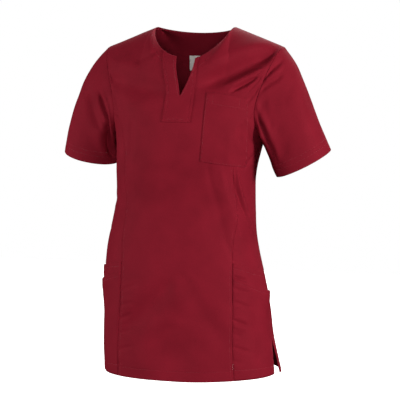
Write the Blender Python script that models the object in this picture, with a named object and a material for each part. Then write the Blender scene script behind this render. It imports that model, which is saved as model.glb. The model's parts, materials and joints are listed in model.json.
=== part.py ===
"""A short-sleeved scrub tunic, filled out as worn: each cut piece of cloth is a thin wall of its own.

Metres, +Z up, the front facing -Y and +X on the wearer's left. The origin is the middle of the
wearer's shoulders, level with the two neck points, where the tunic hangs.

The tunic is one smooth form, in two halves that meet at the side and shoulder seams. A point of a half
is given by its height and by its share of the way from the centre line to the half's outer edge. Below
the chest line the form runs through the horizontal sections of SECTIONS. Above it, curves rise to the
neckline and the shoulder seam. Every piece is a stretch of this form, so neighbours share their seams.
"""

import math
from collections import namedtuple

import bmesh
import bpy
import numpy as np

MM = 0.001

# ------------------------------------------------------------------ driving dimensions
CLOTH = 1.2 * MM  # thickness of every cloth wall
SEAM_GAP = 0.3 * MM  # left between two pieces at a seam
LAYER_GAP = 0.9 * MM  # left under a pocket or placket, where the folded edges lift it
LABEL_THICKNESS = 0.6 * MM

HEM = -0.730
ARMPIT = -0.225
CHEST = -0.140  # across-chest line, where the sections end and the yoke begins
VENT_TOP = HEM + 0.075
VENT_OPENING = math.radians(5.0)  # how far the front edge of a side vent stands back from the seam
VENT_FLARE = 7 * MM  # how far the back edge of a side vent swings out
HEM_RISE = 6 * MM  # how much higher the hem hangs on the wearer's left
HEM_RISE_TOP = -0.50
HEM_RISE_AT = 0.180  # how far from the centre line the rise is full
FLARE_START = math.radians(63.0)  # angle from the centre line where the vent's back edge starts to flare

NECK_HALF_WIDTH = 0.085
SHOULDER_SEAM_Y = 0.010
SHOULDER_TIP = (0.190, SHOULDER_SEAM_Y, -0.041)
FRONT_NECK_DEPTH = 0.068
FRONT_NECK_REACH = 0.098
BACK_NECK_DEPTH = 0.012
BACK_NECK_REACH = 0.052
NECK_SHARE = 0.5  # the neck point's share of the way from centre line to shoulder tip
NECK_LEAN = math.radians(22.5)  # how far the cloth leans in where it arrives at the neckline
NECK_DIP = 1.5  # over 1 makes the neckline's bottom flatter than a round one
YOKE_REACH = 0.40  # of a yoke curve's length, how far each end keeps its direction

# Where an armhole crosses the chest line, as an angle from the centre line
FRONT_LEFT_ARMHOLE = math.radians(57.0)
FRONT_RIGHT_ARMHOLE = math.radians(64.0)
BACK_ARMHOLE = math.radians(60.0)
PRINCESS_TOP = -0.170  # where the princess seam runs into the armhole

SLIT_BOTTOM = CHEST
SLIT_OPEN_LEFT = 0.026  # how far its left edge has fallen open at the neckline
SLIT_OPEN_RIGHT = 0.008
SLIT_CURVE = 0.8  # under 1 opens the slit sooner above its bottom

# ------------------------------------------------------------------ the form's tables
Section = namedtuple("Section", "height half_width front_depth back_depth front_square back_square")
SECTIONS = [
    Section(HEM, 0.187, 0.128, 0.130, 2.45, 2.25),
    Section(-0.680, 0.184, 0.125, 0.129, 2.45, 2.25),
    Section(-0.620, 0.180, 0.123, 0.129, 2.40, 2.25),
    Section(-0.560, 0.176, 0.120, 0.127, 2.35, 2.25),
    Section(-0.500, 0.169, 0.115, 0.118, 2.30, 2.25),
    Section(-0.445, 0.160, 0.109, 0.104, 2.30, 2.25),
    Section(-0.395, 0.152, 0.104, 0.094, 2.30, 2.25),
    Section(-0.355, 0.149, 0.105, 0.092, 2.30, 2.25),
    Section(-0.310, 0.149, 0.112, 0.096, 2.30, 2.25),
    Section(-0.265, 0.153, 0.119, 0.102, 2.30, 2.25),
    Section(-0.225, 0.159, 0.121, 0.108, 2.30, 2.25),
    Section(-0.185, 0.170, 0.115, 0.111, 2.30, 2.20),
    Section(CHEST, 0.184, 0.100, 0.108, 2.30, 2.20),
]

# How far the sections stand to the side of the shoulders' middle
Sway = namedtuple("Sway", "height offset")
SWAYS = [
    Sway(HEM, -0.003),
    Sway(-0.640, -0.011),
    Sway(-0.590, -0.014),
    Sway(-0.540, -0.020),
    Sway(-0.490, -0.025),
    Sway(-0.440, -0.026),
    Sway(-0.390, -0.021),
    Sway(-0.300, -0.018),
    Sway(-0.220, -0.008),
    Sway(CHEST, -0.002),
    Sway(0.0, 0.0),
]

# The princess seams' distances from the centre line
Seam = namedtuple("Seam", "height left right")
PRINCESS = [
    Seam(HEM, 0.122, 0.131),
    Seam(-0.640, 0.125, 0.124),
    Seam(-0.560, 0.128, 0.112),
    Seam(-0.480, 0.130, 0.106),
    Seam(-0.395, 0.130, 0.108),
    Seam(-0.310, 0.124, 0.110),
    Seam(-0.250, 0.121, 0.113),
    Seam(-0.205, 0.129, 0.127),
]

# Folds: soft ridges (height over 0) and troughs (under 0) that run from x0, z0 to x1, z1
FOLD_LEVEL = 0.4  # of a fold's length, the middle stretch where it keeps its full height
Fold = namedtuple("Fold", "x0 z0 x1 z1 width height")
FRONT_FOLDS = [
    Fold(0.160, -0.070, 0.045, -0.112, 0.016, -4.0 * MM),  # left armhole towards the slit
    Fold(0.150, -0.035, 0.060, -0.080, 0.016, 3.0 * MM),
    Fold(-0.160, -0.120, -0.105, -0.200, 0.016, -2.5 * MM),  # right armhole towards the bust
    Fold(0.098, -0.315, 0.140, -0.430, 0.017, 3.5 * MM),  # left bust down to the waist
    Fold(0.068, -0.330, 0.108, -0.460, 0.018, -3.0 * MM),
    Fold(-0.105, -0.320, -0.130, -0.430, 0.018, -2.5 * MM),
    Fold(-0.120, -0.680, 0.000, -0.560, 0.035, -4.0 * MM),  # hollow under the belly
    Fold(0.105, -0.690, 0.010, -0.560, 0.035, -4.0 * MM),
    Fold(-0.050, -0.670, 0.050, -0.670, 0.045, -4.0 * MM),
]
BACK_FOLDS = [
    Fold(-0.150, -0.120, -0.060, -0.205, 0.016, -3.0 * MM),  # armholes towards the shoulder blades
    Fold(0.150, -0.115, 0.070, -0.215, 0.016, -3.0 * MM),
    Fold(-0.115, -0.345, 0.020, -0.375, 0.014, -3.5 * MM),  # slack cloth over the waist
    Fold(-0.030, -0.405, 0.120, -0.380, 0.015, 3.5 * MM),
    Fold(-0.125, -0.440, -0.030, -0.425, 0.014, 3.0 * MM),
    Fold(0.060, -0.700, 0.045, -0.520, 0.026, 4.0 * MM),  # the skirt's soft flutes
    Fold(-0.065, -0.700, -0.050, -0.530, 0.026, 4.0 * MM),
]

# Sleeves: the cuff's middle, the arm's lean outwards and back, and the way the head leaves the tip
Sleeve = namedtuple("Sleeve", "tag side cuff_x cuff_y cuff_z lean back head_x head_z head_reach")
SLEEVES = [
    Sleeve("left", 1, 0.233, 0.004, -0.283, math.radians(25), math.radians(13), 0.62, -0.78, 0.22),
    Sleeve("right", -1, 0.234, 0.004, -0.277, math.radians(12), math.radians(12), 0.78, -0.62, 0.30),
]
CUFF_ACROSS = 0.062  # half width of the cuff's opening, and half its depth
CUFF_DEEP = 0.049
BESIDE_ARMHOLE = 0.96  # share on a panel from which its way in from the armhole is taken
SLEEVE_FULLNESS = 0.10  # how far front and back of the sleeve head round out
SLEEVE_SEAM = 3 * SEAM_GAP  # from the armhole's edge to the sleeve's, so that both walls stay clear
UNDERARM_REACH = 0.22  # of a sleeve line's length, how far it keeps its direction at the underarm
CUFF_REACH = 0.33  # and at the cuff
SLEEVE_FOLDS_START = 1 / 6  # of the sleeve's length, where its folds reach full height
SleeveFold = namedtuple("SleeveFold", "turn0 along0 turn1 along1 width height")
SLEEVE_FOLDS = [
    SleeveFold(0.20, 0.05, 0.36, 0.42, 0.045, -3.5 * MM),  # turn 0 underarm, 0.5 shoulder tip
    SleeveFold(0.10, 0.20, 0.24, 0.62, 0.045, 3.0 * MM),
    SleeveFold(0.80, 0.05, 0.66, 0.50, 0.050, -3.5 * MM),
    SleeveFold(0.90, 0.25, 0.78, 0.65, 0.045, 2.5 * MM),
]

# Pieces laid on the panels
PLACKET_HALF_WIDTH = 0.030
PLACKET_LEAST_SHARE = 0.03  # of the half's width, left where the slit falls open
PLACKET_BOTTOM = -0.193
PLACKET_COLUMNS = 3  # on each side of the slit
Corner = namedtuple("Corner", "x z")
CHEST_POCKET = {
    "top_inner": Corner(0.060, -0.132),
    "top_outer": Corner(0.145, -0.144),
    "bottom_inner": Corner(0.060, -0.272),
    "bottom_outer": Corner(0.143, -0.287),
}
# A side pocket's edge at the princess seam and at the side seam, and how much lower the outer one lies
SidePocket = namedtuple("SidePocket", "tag side front_edge side_edge outer_drop")
SIDE_POCKETS = [
    SidePocket("left", 1, -0.484, -0.526, 0.028),
    SidePocket("right", -1, -0.487, -0.514, 0.021),
]
POCKET_GAPE = 1.5 * MM  # how far a pocket's edge stands away
GAPE_START = 0.6  # share of a side pocket's height above which it stands away
POCKET_SIDE_INSET = 0.02  # share of the side front's width between a side pocket and each seam
POCKET_HEM_INSET = 2 * MM
FACING_INSET = 2 * MM  # between the facing's ends and the seams
LABEL_WIDTH = 0.056
LABEL_DROP = 0.032
LABEL_LEAN = 0.10  # backwards, as a share of its drop
LABEL_GAP = 0.7 * MM  # between the label and the facing

# ------------------------------------------------------------------ grid rows and columns
LOWER_ROWS = 21  # hem to armpit
ARMHOLE_ROWS = 6  # armpit to chest line
YOKE_ROWS = 6
CENTRE_COLUMNS = 10  # on each side of the centre front
SIDE_COLUMNS = 5
BACK_COLUMNS = 12
SLEEVE_ROWS = 9
POCKET_ROWS = 9
CHEST_POCKET_COLUMNS = 8
CHEST_POCKET_ROWS = 10
FACING_ROWS = 2
LABEL_COLUMNS = 4
LABEL_ROWS = 3
TINY = 1e-6

WINE_RED = (0.235, 0.012, 0.024)
LABEL_WHITE = (0.80, 0.80, 0.78)


# ------------------------------------------------------------------ curves and small tools
def smooth_through(places, values, at):
    """A smooth curve through the given values: cubic between neighbours, with their mean slope."""
    places, values = np.asarray(places, float), np.asarray(values, float)
    slopes = np.gradient(values, places)
    at = np.clip(at, places[0], places[-1])
    i = np.clip(np.searchsorted(places, at, side="right") - 1, 0, len(places) - 2)
    span = places[i + 1] - places[i]
    t = (at - places[i]) / span
    start = (1 + 2 * t) * (1 - t) ** 2 * values[i] + t * (1 - t) ** 2 * span * slopes[i]
    end = t**2 * (3 - 2 * t) * values[i + 1] + t**2 * (t - 1) * span * slopes[i + 1]
    return start + end


def table_curve(table, place, column, at):
    return smooth_through([getattr(r, place) for r in table], [getattr(r, column) for r in table], at)


def smooth_step(t):
    t = np.clip(t, 0.0, 1.0)
    return t * t * (3 - 2 * t)


def unit(v):
    return v / np.maximum(np.linalg.norm(v, axis=-1, keepdims=True), 1e-12)


def bezier(p0, p1, p2, p3, t):
    t = np.asarray(t)[..., None]
    return (1 - t) ** 3 * p0 + 3 * t * (1 - t) ** 2 * p1 + 3 * t**2 * (1 - t) * p2 + t**3 * p3


def stack(x, y, z):
    return np.stack(np.broadcast_arrays(np.asarray(x, float), y, z), axis=-1)


def fold_lift(folds, x, z):
    """How far the folds lift the cloth at x, z: each is a soft ridge that fades out at its ends."""
    lift = np.zeros(np.broadcast(x, z).shape)
    for f in folds:
        run = np.array([f[2] - f[0], f[3] - f[1]])
        length = np.linalg.norm(run)
        along = ((x - f[0]) * run[0] + (z - f[1]) * run[1]) / length**2
        across = ((x - f[0]) * run[1] - (z - f[1]) * run[0]) / length
        ends = smooth_step((1.25 - np.abs(2 * along - 1)) / (1.25 - FOLD_LEVEL))
        lift = lift + f.height * np.exp(-((across / f.width) ** 2)) * ends
    return lift


# ------------------------------------------------------------------ the torso's form
def armhole_angle(height, half, side):
    """Angle from the centre line to a half's outer edge: the side seam, then round the armhole."""
    at_chest = BACK_ARMHOLE
    if half == "front":
        at_chest = np.where(side > 0, FRONT_LEFT_ARMHOLE, FRONT_RIGHT_ARMHOLE)
    rise = np.clip((height - ARMPIT) / (CHEST - ARMPIT), 0.0, 1.0)
    return math.pi / 2 - (math.pi / 2 - at_chest) * np.sqrt(1 - (1 - rise) ** 2)


def edge_angle(height, half, side):
    """As armhole_angle, with the front edge set back where the side vent opens."""
    opening = VENT_OPENING * np.clip((VENT_TOP - height) / (VENT_TOP - HEM), 0.0, 1.0)
    return armhole_angle(height, half, side) - (opening if half == "front" else 0.0)


def section_point(angle, height, half):
    """Point of the form on a horizontal section, angle 0 at the centre line and 90 degrees at the side."""
    width = table_curve(SECTIONS, "height", "half_width", height)
    depth = table_curve(SECTIONS, "height", half + "_depth", height)
    square = table_curve(SECTIONS, "height", half + "_square", height)
    if half == "back":
        swing = np.clip((VENT_TOP - height) / (VENT_TOP - HEM), 0.0, 1.0)
        near_seam = smooth_step((np.abs(angle) - FLARE_START) / (math.pi / 2 - FLARE_START))
        width = width + VENT_FLARE * swing * near_seam
    reach = np.clip(1 - np.abs(np.sin(angle)) ** square, 0.0, 1.0) ** (1 / square)
    facing = -1.0 if half == "front" else 1.0
    return stack(width * np.sin(angle), facing * depth * reach, height)


def hem_rise(point):
    """How far the hip on the wearer's left lifts the hem below it."""
    low = smooth_step((HEM_RISE_TOP - point[..., 2]) / (HEM_RISE_TOP - HEM))
    return HEM_RISE * low * smooth_step(point[..., 0] / HEM_RISE_AT)


def neckline(share, half):
    """Neckline, share 0 at the centre line and 1 at the neck point."""
    turn = math.pi / 2 * share
    front = half == "front"
    reach = FRONT_NECK_REACH if front else -BACK_NECK_REACH
    depth = FRONT_NECK_DEPTH if front else BACK_NECK_DEPTH
    y = SHOULDER_SEAM_Y - reach * np.cos(turn)
    return stack(NECK_HALF_WIDTH * np.sin(turn), y, -depth * np.cos(turn) ** NECK_DIP)


def top_edge(share, half):
    """Neckline and then shoulder seam, share 0 at the centre line and 1 at the shoulder tip."""
    neck_point = np.array([NECK_HALF_WIDTH, SHOULDER_SEAM_Y, 0.0])
    along = np.clip((share - NECK_SHARE) / (1 - NECK_SHARE), 0.0, 1.0)[..., None]
    shoulder = neck_point * (1 - along) + np.array(SHOULDER_TIP) * along
    neck = neckline(np.minimum(share / NECK_SHARE, 1.0), half)
    return np.where(share[..., None] < NECK_SHARE, neck, shoulder)


def yoke_point(share, rise, half, side):
    """Point above the chest line: rise 0 on that line, 1 on the neckline or shoulder seam."""
    facing = -1.0 if half == "front" else 1.0
    angle = share * armhole_angle(CHEST, half, side)
    start = section_point(angle, np.full_like(share, CHEST), half)
    below = section_point(angle, np.full_like(share, CHEST - 4 * MM), half)
    end = top_edge(share, half)
    over = np.array([0.0, -facing, 0.0])  # over the shoulder, towards the other half
    up = np.array([0.0, -facing * math.sin(NECK_LEAN), math.cos(NECK_LEAN)])  # at the neckline's middle
    blend = smooth_step(share / NECK_SHARE)[..., None]
    arrive = unit(up * (1 - blend) + over * blend)
    reach = YOKE_REACH * np.linalg.norm(end - start, axis=-1, keepdims=True)
    return bezier(start, start + reach * unit(start - below), end - reach * arrive, end, rise)


def half_point(share, height, half, folds):
    """Point of a half at a signed share (under 0 on the wearer's right); heights over CHEST are yoke."""
    share, height = np.broadcast_arrays(np.asarray(share, float), np.asarray(height, float))
    side, size = np.where(share < 0, -1.0, 1.0), np.abs(share)
    low = section_point(size * edge_angle(height, half, side), np.minimum(height, CHEST), half)
    high = yoke_point(size, np.clip((height - CHEST) / -CHEST, 0.0, 1.0), half, side)
    point = np.where((height > CHEST)[..., None], high, low) * stack(side, 1.0, 1.0)
    lift = fold_lift(folds, point[..., 0], point[..., 2])
    sway = table_curve(SWAYS, "height", "offset", point[..., 2])
    return point + stack(sway, 0.0, hem_rise(point)), lift


def cloth_surface(share, height, half):
    """Outer face of a half, with its folds, and the way out of the cloth there."""
    folds = FRONT_FOLDS if half == "front" else BACK_FOLDS
    step_share, step_height = 0.004, 0.0015

    def smooth(s, h):
        return half_point(s, h, half, folds)[0]

    share, height = np.broadcast_arrays(np.asarray(share, float), np.asarray(height, float))
    low = np.clip(height - step_height, HEM, 0.0)
    high = np.clip(height + step_height, HEM, 0.0)
    left = smooth(np.minimum(share + step_share, 1.0), height)
    right = smooth(np.maximum(share - step_share, -1.0), height)
    up = smooth(share, high) - smooth(share, low)
    out = unit(np.cross(left - right, up)) * (1.0 if half == "front" else -1.0)
    point, lift = half_point(share, height, half, folds)
    return point + out * lift[..., None], out


def share_at(distance, height, side):
    """Share of the front at which it is that far from the centre line, below the chest line."""
    width = table_curve(SECTIONS, "height", "half_width", height)
    return np.arcsin(np.clip(distance / width, -1, 1)) / edge_angle(height, "front", side)


def yoke_share_at(distance, height, side):
    """As share_at, also over the chest line, where the shares run up to the neckline."""
    at_neckline = NECK_SHARE * np.arcsin(distance / NECK_HALF_WIDTH) / (math.pi / 2)
    rise = np.clip((height - CHEST) / -CHEST, 0.0, 1.0)
    return share_at(distance, np.minimum(height, CHEST), side) * (1 - rise) + at_neckline * rise


def princess_share(height, side):
    """Share of a side's princess seam, which reaches the armhole at PRINCESS_TOP."""
    table_top = PRINCESS[-1].height
    column = "left" if side > 0 else "right"
    share = share_at(table_curve(PRINCESS, "height", column, np.minimum(height, table_top)), height, side)
    into = smooth_step((height - table_top) / (PRINCESS_TOP - table_top))
    return np.where(height >= PRINCESS_TOP, 1.0, share * (1 - into) + into)


# ------------------------------------------------------------------ rows
def lower_heights():
    """Rows from hem to armpit, with one at the top of the side vents."""
    vent = np.linspace(HEM, VENT_TOP, 4)
    return np.concatenate([vent, np.linspace(VENT_TOP, ARMPIT, LOWER_ROWS - 2)[1:]])


def armhole_heights():
    """Rows from armpit to chest line, closest at the bottom, where the armhole turns under the arm."""
    turn = np.linspace(0, 1, ARMHOLE_ROWS + 1)[1:]
    return ARMPIT + (CHEST - ARMPIT) * turn**1.6


def yoke_heights():
    return CHEST * (1 - np.linspace(0, 1, YOKE_ROWS + 1)[1:])


def princess_rows():
    """Number of armhole rows that the princess seam crosses."""
    return int(np.sum(armhole_heights() < PRINCESS_TOP - TINY))


def side_heights():
    return np.concatenate([lower_heights(), armhole_heights()[: princess_rows()]])


def all_heights():
    return np.concatenate([lower_heights(), armhole_heights(), yoke_heights()])


# ------------------------------------------------------------------ making walls
def inset_edge(points, axis, end, distance):
    """Draws one edge of a grid in towards its neighbours, to leave room at a seam."""
    points = np.moveaxis(points, axis, 0)
    at, near = (0, 1) if end == 0 else (-1, -2)
    points[at] += distance * unit(points[near] - points[at])
    return np.moveaxis(points, 0, axis)


def wall_mesh(outer, inner, index, skipped=()):
    """Closed wall between two grids of points. index says which points each grid place uses."""
    rows, columns = index.shape
    cells = [(r, c) for r in range(rows - 1) for c in range(columns - 1) if c not in skipped]
    quads = [(index[r, c], index[r, c + 1], index[r + 1, c + 1], index[r + 1, c]) for r, c in cells]
    used = sorted({int(v) for quad in quads for v in quad})
    bm = bmesh.new()
    front = {v: bm.verts.new(outer[v]) for v in used}
    back = {v: bm.verts.new(inner[v]) for v in used}
    edges = {(a, b) for quad in quads for a, b in zip(quad, quad[1:] + quad[:1])}
    for quad in quads:
        bm.faces.new([front[v] for v in quad])
        bm.faces.new([back[v] for v in reversed(quad)])
    for a, b in edges:
        if (b, a) not in edges:
            bm.faces.new([front[b], front[a], back[a], back[b]])
    bmesh.ops.recalc_face_normals(bm, faces=bm.faces)
    bmesh.ops.triangulate(bm, faces=bm.faces, quad_method="SHORT_EDGE")
    return bm


def add_piece(name, bm, material, collection):
    mesh = bpy.data.meshes.new(name)
    bm.to_mesh(mesh)
    bm.free()
    mesh.materials.append(material)
    mesh.shade_smooth()
    mesh.set_sharp_from_angle(angle=math.radians(40))
    piece = bpy.data.objects.new(name, mesh)
    collection.objects.link(piece)
    return piece


def cloth_wall(name, outer, out, material, collection, thickness=CLOTH, index=None, skipped=(), lift=0.0):
    """A wall of cloth whose outer face lies on the given grid, or lift above it."""
    if index is None:
        index = np.arange(outer.shape[0] * outer.shape[1]).reshape(outer.shape[:2])
    top = (outer + out * (lift + (thickness if lift else 0.0))).reshape(-1, 3)
    bottom = (outer + out * (lift if lift else -thickness)).reshape(-1, 3)
    return add_piece(name, wall_mesh(top, bottom, index, skipped), material, collection)


def lean_from(out, away):
    """Turns a wall's edge so that its inner side doesn't move towards a neighbour that lies that way."""
    towards = np.maximum(0.0, -np.sum(out * away, axis=-1, keepdims=True))
    return unit(out + towards * away)


# ------------------------------------------------------------------ the armhole and the sleeve
def armhole_loop(side):
    """Points round an armhole, from the armpit up the front to the tip and down the back."""
    front = np.concatenate([[ARMPIT], armhole_heights(), yoke_heights()])
    back = front[::-1][1:-1]
    rim = []
    for heights, half in ((front, "front"), (back, "back")):
        point, out = cloth_surface(np.full(len(heights), float(side)), heights, half)
        inside, _ = cloth_surface(np.full(len(heights), side * BESIDE_ARMHOLE), heights, half)
        rim.append((point, out, unit(inside - point)))
    return [np.concatenate([a, b]) for a, b in zip(*rim)]


def arm_axes(sleeve):
    """The arm's own direction, the way across its cuff and the way from front to back of the cuff."""
    down = -math.cos(sleeve.lean) * math.cos(sleeve.back)
    axis = unit(np.array([sleeve.side * math.sin(sleeve.lean), math.sin(sleeve.back), down]))
    deep = unit(np.array([0.0, 1.0, 0.0]) - axis[1] * axis)
    across = np.cross(axis, deep)
    return axis, across * np.sign(across[0]) * sleeve.side, deep


def sleeve_directions(turn, sleeve):
    """The way the sleeve leaves the armhole: along the arm underneath, out over the shoulder on top."""
    head = np.array([sleeve.side * sleeve.head_x, 0.0, sleeve.head_z])
    over = ((1 - np.cos(2 * math.pi * turn)) / 2)[..., None]
    leave = arm_axes(sleeve)[0] * (1 - over) + unit(head) * over
    return unit(leave + stack(0.0, -SLEEVE_FULLNESS * np.sin(2 * math.pi * turn), 0.0))


def cuff_point(turn, sleeve):
    _, across, deep = arm_axes(sleeve)
    centre = np.array([sleeve.side * sleeve.cuff_x, sleeve.cuff_y, sleeve.cuff_z])
    angle = (2 * math.pi * turn)[..., None]
    return centre - CUFF_ACROSS * np.cos(angle) * across - CUFF_DEEP * np.sin(angle) * deep


def loop_turns(points):
    """Share of the way round a loop at each of its points."""
    steps = np.linalg.norm(np.roll(points, -1, axis=0) - points, axis=1)
    return np.concatenate([[0.0], np.cumsum(steps)[:-1]]) / steps.sum()


def even_turns(points):
    """As loop_turns, with the shoulder tip set exactly half way."""
    turns = loop_turns(points)
    tip = turns[ARMHOLE_ROWS + YOKE_ROWS]
    return np.where(turns <= tip, turns / tip * 0.5, 0.5 + (turns - tip) / (1 - tip) * 0.5)


def sleeve_grid(sleeve):
    """Outer points of a sleeve, rows from armhole to cuff, and the way out of the cloth."""
    rim, _, inward = armhole_loop(sleeve.side)
    turn = even_turns(rim)
    leave = sleeve_directions(turn, sleeve)
    start = rim + SLEEVE_SEAM * unit(leave - inward)
    cuff = cuff_point(turn, sleeve)
    length = np.linalg.norm(cuff - start, axis=1, keepdims=True)
    along = np.linspace(0, 1, SLEEVE_ROWS + 1)
    over = ((1 - np.cos(2 * math.pi * turn)) / 2)[:, None]
    reach = UNDERARM_REACH * (1 - over) + sleeve.head_reach * over
    from_rim = start + reach * length * leave
    to_cuff = cuff - CUFF_REACH * length * arm_axes(sleeve)[0]
    smooth = np.stack([bezier(start, from_rim, to_cuff, cuff, np.full(len(turn), t)) for t in along])
    around = np.roll(smooth, -1, axis=1) - np.roll(smooth, 1, axis=1)
    out = unit(np.cross(around, np.gradient(smooth, axis=0))) * sleeve.side
    if np.sum(out[-1] * (smooth[-1] - smooth[-1].mean(axis=0))) < 0:
        out = -out
    turn_grid, along_grid = np.meshgrid(turn, along)
    lift = fold_lift(SLEEVE_FOLDS, turn_grid, along_grid) * smooth_step(along_grid / SLEEVE_FOLDS_START)
    outer = smooth + out * lift[..., None]
    out[0] = lean_from(out[0], inward)
    return outer, out


# ------------------------------------------------------------------ the pieces
def centre_columns():
    """Shares across the centre front, with the centre line twice: once for each side of the slit."""
    half = np.linspace(0, 1, CENTRE_COLUMNS + 1)
    return np.concatenate([-half[::-1], half])


def slit_share(height, opening):
    """Share at which an edge of the slit stands, that lies the given opening off at the neckline."""
    at_neckline = NECK_SHARE * np.arcsin(opening / NECK_HALF_WIDTH) / (math.pi / 2)
    rise = np.clip((height - SLIT_BOTTOM) / (0.0 - SLIT_BOTTOM), 0.0, 1.0)
    return at_neckline * np.sin(math.pi / 2 * rise) ** SLIT_CURVE


def centre_front_grid(heights):
    """Grid of the centre front between the princess seams and armholes, opened at the slit."""
    columns = centre_columns()
    left = (np.arange(len(columns)) > CENTRE_COLUMNS)[None, :]
    seams = [princess_share(heights, side)[:, None] for side in (-1, 1)]
    edge = np.where(left, seams[1], seams[0])
    start = slit_share(heights[:, None], np.where(left, SLIT_OPEN_LEFT, SLIT_OPEN_RIGHT))
    share = np.where(left, 1.0, -1.0) * (start + np.abs(columns) * (edge - start))
    return cloth_surface(share, heights[:, None], "front")


def slit_index(heights):
    """Grid numbering that joins the two centre columns up to the bottom of the slit."""
    columns = 2 * CENTRE_COLUMNS + 2
    index = np.arange(len(heights) * columns).reshape(len(heights), columns)
    joined = heights <= SLIT_BOTTOM + TINY
    index[joined, CENTRE_COLUMNS + 1] = index[joined, CENTRE_COLUMNS]
    return index


def armhole_lean(points, out, heights, side, column):
    """Leans the rim of a panel's armhole edge away from the sleeve."""
    rim, _, _ = armhole_loop(side)
    leave = sleeve_directions(even_turns(rim), SLEEVES[0] if side > 0 else SLEEVES[1])
    for row, height in enumerate(heights):
        if height >= ARMPIT - TINY:
            nearest = np.argmin(np.linalg.norm(rim - points[row, column], axis=1))
            out[row, column] = lean_from(out[row, column], leave[nearest])
    return out


def build_centre_front(material, collection):
    heights = all_heights()
    outer, out = centre_front_grid(heights)
    for column, side in ((0, -1), (-1, 1)):
        out = armhole_lean(outer, out, heights, side, column)
    outer = inset_edge(outer, 1, 0, SEAM_GAP / 2)
    outer = inset_edge(outer, 1, 1, SEAM_GAP / 2)
    outer = inset_edge(outer, 0, 1, SEAM_GAP / 2)
    index = slit_index(heights)
    cloth_wall("centre_front", outer, out, material, collection, index=index, skipped=(CENTRE_COLUMNS,))


def side_front_grid(heights, side):
    """Grid of a side front from princess seam to side seam and armhole."""
    columns = np.linspace(0, 1, SIDE_COLUMNS + 1)[None, :]
    seam = princess_share(heights, side)[:, None]
    return cloth_surface(side * (seam + columns * (1 - seam)), heights[:, None], "front")


def build_side_front(name, side, material, collection):
    heights = side_heights()
    outer, out = side_front_grid(heights, side)
    out = armhole_lean(outer, out, heights, side, -1)
    outer = inset_edge(outer, 1, 0, SEAM_GAP / 2)
    outer = inset_edge(outer, 1, 1, SEAM_GAP / 2)
    cloth_wall(name, outer, out, material, collection)


def build_back(material, collection):
    heights = all_heights()
    share = np.linspace(-1, 1, 2 * BACK_COLUMNS + 1)
    outer, out = cloth_surface(share[None, :], heights[:, None], "back")
    for column, side in ((0, -1), (-1, 1)):
        out = armhole_lean(outer, out, heights, side, column)
    outer = inset_edge(outer, 1, 0, SEAM_GAP / 2)
    outer = inset_edge(outer, 1, 1, SEAM_GAP / 2)
    outer = inset_edge(outer, 0, 1, SEAM_GAP / 2)
    cloth_wall("back", outer, out, material, collection)


def build_sleeve(sleeve, material, collection):
    outer, out = sleeve_grid(sleeve)
    rows, columns = outer.shape[:2]
    index = np.arange(rows * columns).reshape(rows, columns)
    index = np.concatenate([index, index[:, :1]], axis=1)
    cloth_wall("sleeve_" + sleeve.tag, outer, out, material, collection, index=index)


def build_placket(material, collection):
    """The slit's placket: a strip down each side of the slit that ends in a box below it."""
    heights = all_heights()
    heights = np.concatenate([[PLACKET_BOTTOM], heights[heights > PLACKET_BOTTOM + 4 * MM]])
    half = np.linspace(0, 1, PLACKET_COLUMNS + 1)
    columns = np.concatenate([-half[::-1], half])[None, :]
    left = (np.arange(columns.size) > PLACKET_COLUMNS)[None, :]
    start = slit_share(heights[:, None], np.where(left, SLIT_OPEN_LEFT, SLIT_OPEN_RIGHT))
    side = np.where(left, 1.0, -1.0)
    edge = np.maximum(yoke_share_at(PLACKET_HALF_WIDTH, heights[:, None], side), start + PLACKET_LEAST_SHARE)
    share = side * (start + np.abs(columns) * (edge - start))
    outer, out = cloth_surface(share, heights[:, None], "front")
    index = np.arange(outer.shape[0] * outer.shape[1]).reshape(outer.shape[:2])
    joined = heights <= SLIT_BOTTOM + TINY
    index[joined, PLACKET_COLUMNS + 1] = index[joined, PLACKET_COLUMNS]
    skipped = (PLACKET_COLUMNS,)
    cloth_wall("slit_placket", outer, out, material, collection, index=index, skipped=skipped, lift=LAYER_GAP)


def build_chest_pocket(material, collection):
    across = np.linspace(0, 1, CHEST_POCKET_COLUMNS + 1)[None, :]
    up = np.linspace(0, 1, CHEST_POCKET_ROWS + 1)[:, None]
    corners = CHEST_POCKET
    low_x = corners["bottom_inner"].x * (1 - across) + corners["bottom_outer"].x * across
    top_x = corners["top_inner"].x * (1 - across) + corners["top_outer"].x * across
    low_z = corners["bottom_inner"].z * (1 - across) + corners["bottom_outer"].z * across
    top_z = corners["top_inner"].z * (1 - across) + corners["top_outer"].z * across
    x, z = low_x * (1 - up) + top_x * up, low_z * (1 - up) + top_z * up
    outer, out = cloth_surface(share_at(x, z, 1.0), z, "front")
    fullness = POCKET_GAPE * np.sin(math.pi * across) * np.sin(math.pi / 2 * up)
    outer = outer + out * fullness[..., None]
    cloth_wall("chest_pocket", outer, out, material, collection, lift=LAYER_GAP)


def pocket_edge(pocket, across, drop):
    """Height of a side pocket's slanting edge, a share of the way from princess to side seam."""
    return pocket.front_edge + (pocket.side_edge - pocket.front_edge) * across - drop


def pocket_gape(pocket, across, height, drop):
    """How far a side pocket stands away: near its edge, and beyond it as the cloth below it does."""
    up = (height - HEM) / (pocket_edge(pocket, across, drop) - HEM)
    return POCKET_GAPE * np.sin(math.pi * across) * smooth_step((up - GAPE_START) / (1 - GAPE_START))


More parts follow.
